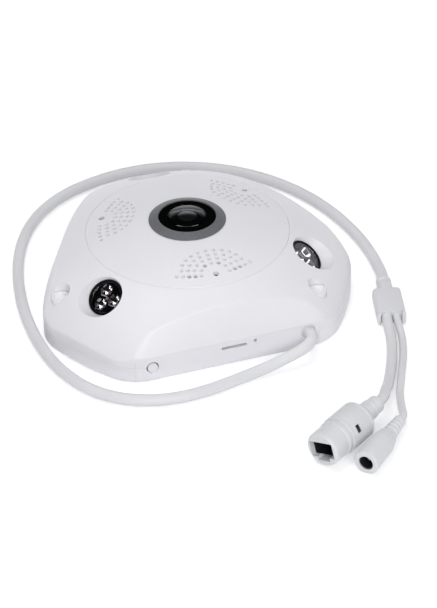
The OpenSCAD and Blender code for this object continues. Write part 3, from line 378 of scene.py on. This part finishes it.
for rib in range(rib_count):
    outer = rib_radius - 0.0009 * rib / rib_count
    foot = rib_length * (2 * rib + 1)
    ribs += [(outer, foot, 0.0002), (outer - groove, foot + 0.0001), (outer - groove, foot + 0.0012),
             (outer - 0.0002, foot + 0.0013, 0.0002)]
ribs += [(0.0027, 0.0124, 0.0004), (0.0, 0.0124)]
power_relief = fitted(
    "power_relief_ribs", put([jack_place @ Matrix.Translation((0, 0, jack_length))], turn(ribs, 56)), vinyl,
    "cable_sheath", "power_strain_relief")

# Cables: round leads in white vinyl that lie on the table as they were put down. The main one leaves the front
# wall, turns left round the whole housing and comes back on the right to the splitter.
main_route = [
    (0.0359, -0.0599, 0.0088), (0.0359, -0.0648, 0.0088), (0.0342, -0.0676, 0.0085),
    (0.0302, -0.0699, 0.0075), (0.0254, -0.071, 0.0064), (0.0206, -0.0716, 0.0053), (0.0146, -0.0723, 0.004),
    (0.0076, -0.0732, 0.003), (-0.005, -0.0759, 0.0027), (-0.0186, -0.0784, 0.0027),
    (-0.0327, -0.0787, 0.0027), (-0.0456, -0.0756, 0.0027), (-0.0568, -0.0692, 0.0027),
    (-0.0654, -0.0597, 0.0027), (-0.0714, -0.0476, 0.0027), (-0.0751, -0.0345, 0.0027),
    (-0.0769, -0.0204, 0.0027), (-0.0772, -0.0065, 0.0027), (-0.0764, 0.0073, 0.0027),
    (-0.0744, 0.0216, 0.0027), (-0.0713, 0.036, 0.0027), (-0.0669, 0.05, 0.0027),
    (-0.0609, 0.0634, 0.0027), (-0.053, 0.0756, 0.0027), (-0.0432, 0.0857, 0.0027),
    (-0.0319, 0.0933, 0.0027), (-0.0191, 0.0985, 0.0027), (-0.0054, 0.1015, 0.0027), (0.0086, 0.102, 0.0027),
    (0.0226, 0.0998, 0.0027), (0.0361, 0.0949, 0.0027), (0.0487, 0.0875, 0.0027), (0.06, 0.0777, 0.0027),
    (0.0697, 0.0656, 0.0027), (0.0774, 0.0519, 0.0027), (0.0829, 0.0372, 0.0027), (0.0863, 0.0223, 0.0027),
    (0.088, 0.008, 0.0027), (0.0881, -0.0053, 0.0027), (0.0873, -0.0148, 0.003), (0.0861, -0.0228, 0.0035),
    (0.0847, -0.0282, 0.0035),
]
network_route = [
    (0.0762, -0.0524, 0.0035), (0.0748, -0.0576, 0.0035), (0.0736, -0.0622, 0.0032),
    (0.072, -0.0686, 0.0027), (0.0697, -0.0755, 0.0024), (0.0667, -0.0829, 0.0024),
    (0.0633, -0.0901, 0.0024), (0.0599, -0.0968, 0.0029), (0.0564, -0.1034, 0.0044),
    (0.0526, -0.1098, 0.0068), (0.0496, -0.1149, 0.0081), (0.0474, -0.1173, 0.0085),
    (0.0449, -0.1189, 0.0085),
]
power_route = [
    (0.0806, -0.0535, 0.0035), (0.0794, -0.0578, 0.0035), (0.0785, -0.062, 0.0031),
    (0.0771, -0.0689, 0.0022), (0.0748, -0.0762, 0.0018), (0.0715, -0.0842, 0.0018),
    (0.0678, -0.0919, 0.0018), (0.064, -0.0997, 0.0018), (0.0604, -0.1074, 0.0021),
    (0.0578, -0.1146, 0.0032), (0.0557, -0.121, 0.0046), (0.0547, -0.1246, 0.0052),
    (0.0539, -0.1266, 0.0054), (0.0529, -0.128, 0.00545), (0.0514, -0.1294, 0.00545),
]


def cable(name, route, diameter, node):
    """A cable along a route, from where it leaves to what it ends in."""
    line = bpy.data.curves.new(name, "CURVE")
    line.dimensions = "3D"
    line.bevel_depth = diameter / 2
    line.bevel_resolution = 7
    line.resolution_u = 8
    line.use_fill_caps = True
    spline = line.splines.new("BEZIER")
    spline.bezier_points.add(len(route) - 1)
    for point, place in zip(spline.bezier_points, route):
        point.co = place
        point.handle_left_type = point.handle_right_type = "AUTO"
    line.materials.append(vinyl)
    lead = bpy.data.objects.new(name, line)
    bpy.context.scene.collection.objects.link(lead)
    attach(lead, "camera")
    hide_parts(node)


cable("main_lead", main_route, 0.0052, "main_cable")
cable("network_lead", network_route, 0.0047, "network_cable")
cable("power_lead", power_route, 0.0034, "power_cable")

# Top cover: the white shell, one moulding of satin ABS. It is turned from its section, then pressed in to the
# three flat sides, which stand upright at the foot and lean in above. The lamp pockets, the wells and the
# openings of the front wall are cut last.
shell_white = finish_of("shell_white", (0.80, 0.795, 0.83), 0.34, drift=0.012, grain=0.02, grain_size=0.0005)
lobes = (90.0, 210.0, 330.0)
flats = (270.0, 30.0, 150.0)
reach, front, side = 0.0739, 0.0604, 0.0618
lobe_arc, side_arc, corner_arc, widest = 0.12, 0.227, 0.0224, 0.0766
skirt_top, wall = 0.0125, 0.0025
lobe_lean, front_lean, side_lean, lean_turn = radians(17.5), radians(15.5), radians(19.5), radians(38)
corner_lean, corner_lean_at, lobeward, flatward = radians(7), radians(20), radians(9), radians(18.5)
slope_centre, slope_radius, slope_start, slope_end = -0.08301, 0.12506, 0.0467, 0.0665
shoulder_centre, shoulder_radius, shoulder_top, shoulder_foot = (0.03722, -0.00577), 0.04098, 44.4, 16.2


def toward(angle):
    """The direction on the table that lies at an angle from a lobe's middle."""
    return Vector((cos(angle), sin(angle)))


def far_side(centre, radius, ray):
    """How far along a ray from the lens axis a circle's far side lies."""
    along = centre.dot(ray)
    return along + sqrt(radius ** 2 - centre.length_squared + along ** 2)


def meeting(a, radius_a, b, radius_b):
    """The outer one of the two points in which two circles cross."""
    gap = b - a
    along = (radius_a ** 2 - radius_b ** 2 + gap.length_squared) / (2 * gap.length)
    gap.normalize()
    return a + along * gap - sqrt(radius_a ** 2 - along ** 2) * Vector((-gap.y, gap.x))


lobe_centre = Vector((reach - lobe_arc, 0.0))
side_middle = toward(radians(60))
side_centre = (side - side_arc) * side_middle
flat_foot, flat_line = (front - corner_arc) * side_middle, toward(radians(-30))
from_foot = lobe_centre - flat_foot
flat_ahead = from_foot.dot(flat_line)
flat_half = flat_ahead + sqrt(flat_ahead ** 2 + (lobe_arc - corner_arc) ** 2 - from_foot.length_squared)
corner_centres = {
    True: flat_foot + flat_half * flat_line,
    False: meeting(side_centre, side_arc - corner_arc, lobe_centre, lobe_arc - corner_arc),
}


def bearing(about):
    """How far a direction in degrees turns from the nearest lobe's middle, and if it is on the front half."""
    lobe = min(lobes, key=lambda middle: abs((about - middle + 180) % 360 - 180))
    away = (about - lobe + 180) % 360 - 180
    return radians(abs(away)), (lobe == 210 and away > 0) or (lobe == 330 and away < 0)


def outline(about, inset):
    """The distance of the upright outline from the lens axis in a direction."""
    away, at_front = bearing(about)
    corner = corner_centres[at_front]
    ray = toward(away)
    start = (corner - lobe_centre).normalized()
    stop = side_middle if at_front else (corner - side_centre).normalized()
    first, last = corner + (corner_arc - inset) * start, corner + (corner_arc - inset) * stop
    if away < Vector((1, 0)).angle(first):
        return far_side(lobe_centre, lobe_arc - inset, ray)
    if away < Vector((1, 0)).angle(last):
        return far_side(corner, corner_arc - inset, ray)
    if at_front:
        return (front - inset) / cos(radians(60) - away)
    return far_side(side_centre, side_arc - inset, ray)


def leaning(about, inset, height):
    """The distance of the wall above the skirt from the lens axis; at the front its corners lean in more."""
    away, at_front = bearing(about)
    lean = lobe_lean + ((front_lean if at_front else side_lean) - lobe_lean) * min(away / lean_turn, 1.0)
    if at_front:
        spread = flatward if away > corner_lean_at else lobeward
        lean += corner_lean * exp(-((away - corner_lean_at) / spread) ** 2)
    return outline(about, inset / cos(lean) + (height - skirt_top) * tan(lean))


def softly(a, b, blend):
    """The smaller of two distances, rounded off where they cross."""
    if blend <= 0:
        return min(a, b)
    return min(a, b) - max(blend - abs(a - b), 0) ** 2 / (4 * blend)


def pressed(bm, inset):
    """Moves a turned shell's points in to the upright outline and to the leaning sides."""
    for vert in bm.verts:
        radius = hypot(vert.co.x, vert.co.y)
        if radius < 0.02:
            continue
        about = degrees(atan2(vert.co.y, vert.co.x)) % 360
        edge = outline(about, inset)
        height = vert.co.z
        if radius > widest - inset - 0.0006:
            new = edge - (widest - inset - radius)
        else:
            new = softly(radius, edge, 0.0003)
        if height > skirt_top:
            crease = min(0.0005, 0.3 * (height - skirt_top))
            new = softly(new, leaning(about, inset, height), crease)
        vert.co.x *= new / radius
        vert.co.y *= new / radius
    return bm


def section(inset, rows_above, rows_below):
    """Points down the outside of the shell's slope and shoulder, drawn in by an inset."""
    points = []
    for row in range(rows_above + 1):
        radius = slope_start + (slope_end - slope_start) * row / rows_above - inset * 0.45
        points.append((radius, slope_centre + sqrt((slope_radius - inset) ** 2 - radius ** 2)))
    for row in range(1, rows_below + 1):
        angle = radians(shoulder_top + (shoulder_foot - shoulder_top) * row / rows_below)
        radius = shoulder_centre[0] + (shoulder_radius - inset) * cos(angle)
        height = shoulder_centre[1] + (shoulder_radius - inset) * sin(angle)
        points.append((min(radius, widest - inset), height))
    return points


shelf_radius, shelf_height = 0.0463, 0.0315
skirt = [(widest, 0.0056 - 0.0052 * row / 4) for row in range(1, 4)]
solid = turn(
    [(0.0, shelf_height), (shelf_radius, shelf_height), (shelf_radius, 0.0328), (0.04635, 0.0330),
     (0.0465, 0.03305)]
    + section(0.0, 36, 30) + skirt + [(widest, 0.0004), (widest - 0.0004, 0.0), (0.0, 0.0)], 420)
cavity = turn(
    [(0.0, 0.04), (0.0436, 0.04)] + section(wall, 8, 10)
    + [(widest - wall, 0.004), (widest - wall, -0.001), (0.0, -0.001)], 210)
solid, cavity = pressed(solid, 0.0), pressed(cavity, wall)


def post(radius, foot, top, steps):
    """A round post or a round cutter round the Z axis."""
    return turn([(0.0, foot), (radius, foot), (radius, top), (0.0, top)], steps)


lamp_reach, lamp_height, lamp_tilt = 0.0546, 0.0253, radians(40)
well_reach, well_turn, boss_reach, boss_turn = 0.0658, 17.5, 0.0615, 20.0
floor_at, above_shell = 0.002, 0.05
lamp_places = [
    Matrix.Rotation(radians(lobe), 4, "Z") @ Matrix.Translation((lamp_reach, 0, lamp_height))
    @ Matrix.Rotation(lamp_tilt, 4, "Y")
    for lobe in lobes
]
well_places = [
    Matrix.Rotation(radians(lobe - well_turn), 4, "Z") @ Matrix.Translation((well_reach, 0, 0))
    for lobe in lobes
]
boss_places = [
    Matrix.Rotation(radians(lobe + boss_turn), 4, "Z") @ Matrix.Translation((boss_reach, 0, 0))
    for lobe in lobes
]
lamp_sleeves = put(lamp_places, post(0.0107, -0.00475, 0.04, 72))
tubes = put(well_places, post(0.0058, floor_at, above_shell, 40))
bosses = put(boss_places, post(0.0036, floor_at, above_shell, 32))
for kept in (lamp_sleeves, tubes, bosses):
    cavity = carved(cavity, kept)
shell = carved(solid, cavity)

pocket_bore, pocket_mouth = 0.0085, 0.0148
flare = turn([
    (0.0, -0.02), (pocket_bore, -0.02), (pocket_bore, 0.0003, 0.0003), (0.0103, 0.0038, 0.001),
    (0.0126, 0.0084, 0.002), (pocket_mouth, 0.0125), (pocket_mouth, 0.03), (0.0, 0.03),
], 120)
shell = carved(shell, put(lamp_places, flare))
shell = carved(shell, put(well_places, post(0.0043, 0.001, above_shell, 48)))
panel_left, panel_right, panel_back, panel_corner = -0.0442, 0.0413, -0.0599, 0.005
panel = bmesh.new()
bmesh.ops.create_grid(panel, x_segments=1, y_segments=1, size=0.5)
for vert in panel.verts:
    vert.co = (
        panel_right if vert.co.x > 0 else panel_left, panel_back, skirt_top if vert.co.y > 0 else -0.001)
bmesh.ops.bevel(
    panel, geom=[v for v in panel.verts if v.co.x < 0 and v.co.z > 0], offset=panel_corner,
    offset_type="OFFSET", affect="VERTICES", segments=8, profile=0.5, material=-1)
out = bmesh.ops.extrude_face_region(panel, geom=panel.faces[:])
bmesh.ops.translate(
    panel, vec=(0, -0.004, 0), verts=[v for v in out["geom"] if isinstance(v, bmesh.types.BMVert)])
bmesh.ops.recalc_face_normals(panel, faces=panel.faces)
shell = carved(shell, panel)
forward = Matrix.Rotation(pi / 2, 4, "X")


def front_hole(x, z, radius, steps=40):
    """A round cutter through the front wall."""
    return put([Matrix.Translation((x, -0.0535, z)) @ forward], post(radius, 0.0, 0.01, steps))


button_at, microphone_at, cable_at = (-0.0365, 0.0069), (0.0111, 0.0097), (0.0359, 0.0088)
card_slot = block((0.0116, 0.01, 0.0013), (0.0012, -0.0584, 0.00875), 0.0003, 2)
left_seam = block((0.0003, 0.0014, 0.0112), (panel_left, -0.0593, 0.0045))
right_seam = block((0.0003, 0.001, 0.0112), (panel_right, -0.06, 0.0045))
lobe_turns = [Matrix.Rotation(radians(lobe), 4, "Z") for lobe in lobes]
foot_gaps = put(lobe_turns, block((0.02, 0.019, 0.0018), (0.074, 0, 0)))
openings = (
    front_hole(*button_at, 0.00285), front_hole(*microphone_at, 0.00075, 20), front_hole(*cable_at, 0.0034),
    card_slot, left_seam, right_seam, foot_gaps)
for opening in openings:
    shell = carved(shell, opening)
fitted("top_cover_shell", shell, shell_white, "shell", "top_cover", crisp=28)

# Centre plate: a shallow white dome that drops into the cover and leaves a fine ring-shaped groove. Three fans
# of small moulded holes face the flat sides. Most are blind, and a few at the loudspeaker and the light sensor
# go through.
dome_centre, dome_radius, plate_thick = -0.12774, 0.16744, 0.0015
plate_bore, plate_edge, plate_rim = 0.0156, 0.0459, 0.0461


def dome_height(radius, inset=0.0):
    """The height of the plate's dome at a distance from the lens axis."""
    return dome_centre + sqrt((dome_radius - inset) ** 2 - radius ** 2)


rows = [plate_bore + (plate_edge - plate_bore) * row / 30 for row in range(31)]
rim = ((0.04605, 0.0001), (0.04612, 0.0003), (0.04626, 0.0004), (0.04626, 0.001), (plate_rim, 0.001))
plate = turn(
    [(radius, dome_height(radius)) for radius in rows]
    + [(radius, dome_height(plate_rim) - drop) for radius, drop in rim]
    + [(radius, dome_height(radius, plate_thick)) for radius in (plate_rim, 0.036, 0.026, plate_bore)], 300)
eye_at, first_row, row_pitch, row_counts = 0.0398, 0.0065, 0.00265, (7, 9, 11, 13, 15)
hole_radius, eye_radius, blind, through = 0.0009, 0.0013, 0.0012, 0.004
drilled = ((0, 2), (0, 4), (1, 0), (1, 8), (2, 0), (2, 10))
small_holes = []
for fan, flat in enumerate(flats):
    for row, count in enumerate(row_counts):
        ring = first_row + row_pitch * row
        for i in range(count):
            angle = pi * i / (count - 1) - pi / 2
            if row == 4 and 0 < i < count - 1:
                continue
            across = ring * sin(angle)
            at = Vector((eye_at - ring * cos(angle) - across ** 2 / (2 * eye_at), across, 0))
            at.z = dome_centre + sqrt(dome_radius ** 2 - at.length_squared)
            deep = through if fan == 0 and (row, i) in drilled else blind
            small_holes.append((flat, at, deep, hole_radius))
    eye = Vector((eye_at, 0, dome_height(eye_at)))
    small_holes.append((flat, eye, through if fan == 2 else 0.002, eye_radius))
above_dome = 0.0006
drills = bmesh.new()
for flat, at, deep, radius in small_holes:
    place = Matrix.Rotation(radians(flat), 4, "Z") @ Matrix.Translation(at)
    bmesh.ops.create_cone(
        drills, cap_ends=True, segments=14, radius1=radius * 0.8, radius2=radius * 1.12,
        depth=deep + above_dome, matrix=place @ Matrix.Translation((0, 0, (above_dome - deep) / 2)))
plate = carved(plate, drills)
fitted("centre_plate_dome", plate, shell_white, "shell", "centre_plate", crisp=30)

# Base plate: a flat white moulding inside the foot of the cover, with holes for the mounting screws and posts
# for the main board. Three small zinc-plated screws hold it.
dressed("base_plate", shell_white)
zinc = finish_of("zinc_plate", (0.52, 0.52, 0.54), 0.3, metal=1.0)
dressed("case_screws", zinc)
dressed("board_screws", zinc)

# Screw plugs: moulded caps of the same white plastic, each with a shallow dished top. They are pushed into the
# wells, over the mounting screws.
plug_radius, plug_bore, plug_top, plug_foot = 0.0042, 0.0028, 0.0214, 0.0154
plug = turn([
    (0.0, 0.0204), (0.0026, 0.0205, 0.0004), (0.0031, plug_top, 0.0002), (plug_radius, plug_top, 0.0003),
    (plug_radius, plug_foot), (plug_bore, plug_foot), (plug_bore, 0.0198), (0.0, 0.0198),
], 56)
fitted("screw_plug_caps", put(well_places, plug), shell_white, "shell", "screw_plugs")


# Reset button: a small cap of white plastic in a ring-shaped gap in the front wall.
# Its collar behind the wall keeps it in, and its stem reaches the switch.
def at_front_wall(at):
    """The place of a turned piece in the front wall, with its own Z axis pointing out of it."""
    return Matrix.Translation((at[0], -front, at[1])) @ forward


button_radius, collar_radius, stem_radius = 0.0023, 0.0033, 0.0009
cap = turn([
    (0.0, -0.0058), (stem_radius, -0.0058), (stem_radius, -0.0038), (collar_radius, -0.0038),
    (collar_radius, -0.0031), (button_radius, -0.0031), (button_radius, 0.0003, 0.0003), (0.0, 0.0003),
], 48)
fitted(
    "reset_button_cap", put([at_front_wall(button_at)], cap), shell_white, "shell", "reset_button",
    body="button")

# Cable grommet: a bush of soft white vinyl, moulded round the main cable where it leaves the front wall.
# A flange behind the wall holds it.
bush = turn([
    (0.0, -0.0037), (0.0041, -0.0037), (0.0041, -0.0029), (0.00335, -0.0025), (0.00335, -0.0005, 0.0003),
    (0.0, -0.0005),
], 48)
fitted("grommet_bush", put([at_front_wall(cable_at)], bush), vinyl, "cable_sheath", "cable_grommet")

# Lens bezel: a turned aluminium ring with grey, finely speckled satin paint, a low cone round the lens.
# It stands on the centre plate and hides the seat of the lens.
bezel_grey = finish_of(
    "bezel_grey", (0.12, 0.124, 0.132), 0.42, drift=0.05, grain=0.12, grain_size=0.0003,
    specks=(0.19, 0.195, 0.21))
bezel_bore, bezel_neck, bezel_radius = 0.0131, 0.0155, 0.0175
bezel_foot, bezel_ledge, bezel_top = 0.0356, 0.039, 0.0408
bezel = turn([
    (bezel_bore, bezel_foot), (bezel_neck, bezel_foot), (bezel_neck, bezel_ledge),
    (bezel_radius, bezel_ledge), (bezel_radius, 0.0393, 0.00015), (0.0134, bezel_top, 0.0001),
    (bezel_bore, bezel_top, 0.0001),
], 144)
fitted("bezel_cone", bezel, bezel_grey, "bezel", "lens_bezel_ring")

# Lens: a fisheye lens in a black barrel. A black ring holds the domed front glass, and a second, smaller
# glass sits in a black cone below it.
lens_black = finish_of("lens_black", (0.002, 0.0022, 0.0022), 0.5, drift=0.1)
lens_black.node_tree.nodes["Principled BSDF"].inputs["Specular IOR Level"].default_value = 0.0
ring_radius, ring_seat, ring_lip, lens_seat = 0.013, 0.0107, 0.0088, 0.0362
retainer = turn([
    (ring_seat, lens_seat), (ring_radius, lens_seat), (ring_radius, 0.0402, 0.0002), (0.0127, 0.0405, 0.0001),
    (ring_seat, 0.0405, 0.0003), (0.0092, 0.0406, 0.0002), (ring_lip, 0.0406, 0.0001), (ring_lip, 0.0377),
    (ring_seat, 0.0377),
], 120)
fitted("retaining_ring_black", retainer, lens_black, "black_plastic", "lens_retaining_ring")


def clear_finish(name, colour, bending, gleam, smear_scale, haze):
    """A clear finish with a faint, uneven haze."""
    finish = bpy.data.materials.new(name)
    finish.use_nodes = True
    nodes, links = finish.node_tree.nodes, finish.node_tree.links
    shader = nodes["Principled BSDF"]
    shader.inputs["Base Color"].default_value = (*colour, 1.0)
    shader.inputs["Transmission Weight"].default_value = 1.0
    shader.inputs["IOR"].default_value = bending
    shader.inputs["Specular IOR Level"].default_value = gleam
    place = nodes.new("ShaderNodeTexCoord")
    smear = nodes.new("ShaderNodeTexNoise")
    smear.inputs["Scale"].default_value = smear_scale
    links.new(place.outputs["Object"], smear.inputs["Vector"])
    links.new(ranged(finish.node_tree, smear.outputs["Fac"], 0.0, 1.0, 0.0, haze), shader.inputs["Roughness"])
    return finish


def bowl(radius, edge_height, top_height, steps=16):
    """Points along an arc from the axis to the edge of a domed glass."""
    rise = top_height - edge_height
    arc = (radius ** 2 + rise ** 2) / (2 * rise)
    return [
        (radius * step / steps, top_height - arc + sqrt(arc ** 2 - (radius * step / steps) ** 2))
        for step in range(steps + 1)
    ]


glass = clear_finish("front_glass_coated", (0.75, 0.77, 0.8), 1.5, 0.45, 300.0, 0.05)
glass_radius, glass_bore, glass_foot_radius, glass_step = 0.0087, 0.0079, 0.0106, 0.0375
dome = bowl(glass_radius, 0.0408, 0.0421) + [
    (glass_radius, glass_step), (glass_foot_radius, glass_step), (glass_foot_radius, lens_seat),
    (glass_bore, lens_seat)]
dome += bowl(glass_bore, 0.0399, 0.0413)[::-1]
fitted("front_glass_dome", turn(dome, 96), glass, "lens_glass", "lens_front_glass")

barrel_radius, barrel_seat, cone_radius, well_radius = 0.00745, 0.0348, 0.0076, 0.0042
barrel = turn([
    (0.0, 0.0392), (well_radius, 0.0392), (0.0045, 0.0396, 0.0001), (cone_radius, 0.0392, 0.0002),
    (cone_radius, lens_seat), (glass_foot_radius, lens_seat), (glass_foot_radius, barrel_seat),
    (barrel_radius, barrel_seat), (barrel_radius, 0.0172), (0.0, 0.0172),
], 96)
fitted("lens_barrel_black", barrel, lens_black, "black_plastic", "lens_barrel")
inner_coating = finish_of("inner_glass_coated", (0.5, 0.5, 0.51), 0.04, metal=1.0)
inner = turn(bowl(well_radius, 0.0402, 0.0406) + [(well_radius, 0.0388), (0.0, 0.0388)], 72)
fitted("inner_glass", inner, inner_coating, "lens_glass")
for node in ("lens_holder", "day_night_filter"):
    dressed(node, lens_black)

# Infra-red lamps: in each lobe a black cup leans outwards, with a clear window over faceted, metallized bowls
# and their amber emitters. A fourth amber dome, a small light sensor, stands between the bowls.
cup_black = finish_of("cup_black", (0.003, 0.003, 0.0032), 0.45)
cup_black.node_tree.nodes["Principled BSDF"].inputs["Specular IOR Level"].default_value = 0.15
cup_radius, cup_bore, cup_foot, cup_rim, cup_floor = 0.0083, 0.0073, -0.0095, 0.0003, -0.0083
cup = turn([
    (0.0, cup_foot), (cup_radius, cup_foot), (cup_radius, cup_rim, 0.0002), (cup_bore, cup_rim, 0.0002),
    (cup_bore, cup_floor), (0.0, cup_floor),
], 96)
fitted("lamp_cup_rings", put(lamp_places, cup), cup_black, "black_plastic", "lamp_cups")
clear = clear_finish("lamp_window_clear", (0.8, 0.8, 0.82), 1.46, 0.12, 250.0, 0.04)
pane_radius, pane_thick = 0.0072, 0.0014
pane = turn([(0.0, -pane_thick), (pane_radius, -pane_thick), (pane_radius, 0.0, 0.0001), (0.0, 0.0)], 96)
fitted("lamp_panes", put(lamp_places, pane), clear, "lamp_window", "lamp_windows")

bowl_count, bowl_reach, bowl_turn, bowl_radius, bowl_sides = 3, 0.0037, 217, 0.00312, 6
bowl_foot, bowl_rim = -0.0071, -0.0018
bowl_places = [
    lamp @ Matrix.Rotation(radians(bowl_turn + 360 / bowl_count * i), 4, "Z")
    @ Matrix.Translation((bowl_reach, 0, 0))
    for lamp in lamp_places for i in range(bowl_count)
]
web = put(lamp_places, post(pane_radius, bowl_foot, -0.0019, 72))
web = carved(web, put(bowl_places, post(bowl_radius, -0.009, 0.0, bowl_sides)))
fitted("lamp_web", web, cup_black, "black_plastic", "lamp_reflectors")
chrome = finish_of("reflector_chrome", (0.88, 0.88, 0.9), 0.03, metal=1.0)
cone = turn([
    (0.0, -0.0058), (0.0011, -0.0055), (0.0021, -0.0041), (0.0031, bowl_rim), (bowl_radius, bowl_rim),
    (bowl_radius, bowl_foot), (0.0, bowl_foot),
], bowl_sides)
fitted("reflector_bowls", put(bowl_places, cone), chrome, "chromed_plastic", crisp=5)
amber = finish_of("emitter_amber", (0.8, 0.5, 0.36), 0.15)
amber.node_tree.nodes["Principled BSDF"].inputs["Coat Weight"].default_value = 1.0


def amber_dome(radius, foot, edge, top):
    """A small cast dome on a round foot."""
    return turn([(0.0, foot), (radius, foot), (radius, edge)] + bowl(radius, edge, top, 8)[::-1][1:], 32)


emitter = amber_dome(0.0007, -0.0066, -0.0056, -0.0050)
sensor = amber_dome(0.0008, -0.0026, -0.0019, -0.0016)
fitted("emitter_domes", put(bowl_places, emitter), amber, "emitter", "lamp_emitters")
fitted("lamp_light_sensors", put(lamp_places, sensor), amber, "emitter")
board_green = finish_of("board_green", (0.03, 0.16, 0.07), 0.35, drift=0.2)
dressed("lamp_boards", board_green)

# Electronics under the cover: the green main board with its chips, the camera sensor, the loudspeaker, the
# microphone and light sensor, the aerial, the card socket, the reset switch and the cable header.
dressed("main_board", board_green)
chip_black = finish_of("chip_black", (0.025, 0.025, 0.028), 0.55)
for node in ("processor", "memory_chip", "image_sensor", "light_sensor", "reset_switch"):
    dressed(node, chip_black)
dressed("loudspeaker", finish_of("speaker_paper", (0.03, 0.03, 0.032), 0.75, grain=0.2))
for node in ("wifi_module", "card_socket", "microphone"):
    dressed(node, tinned)
dressed("wifi_antenna", gilt)
dressed("cable_header", finish_of("header_nylon", (0.72, 0.69, 0.6), 0.5))
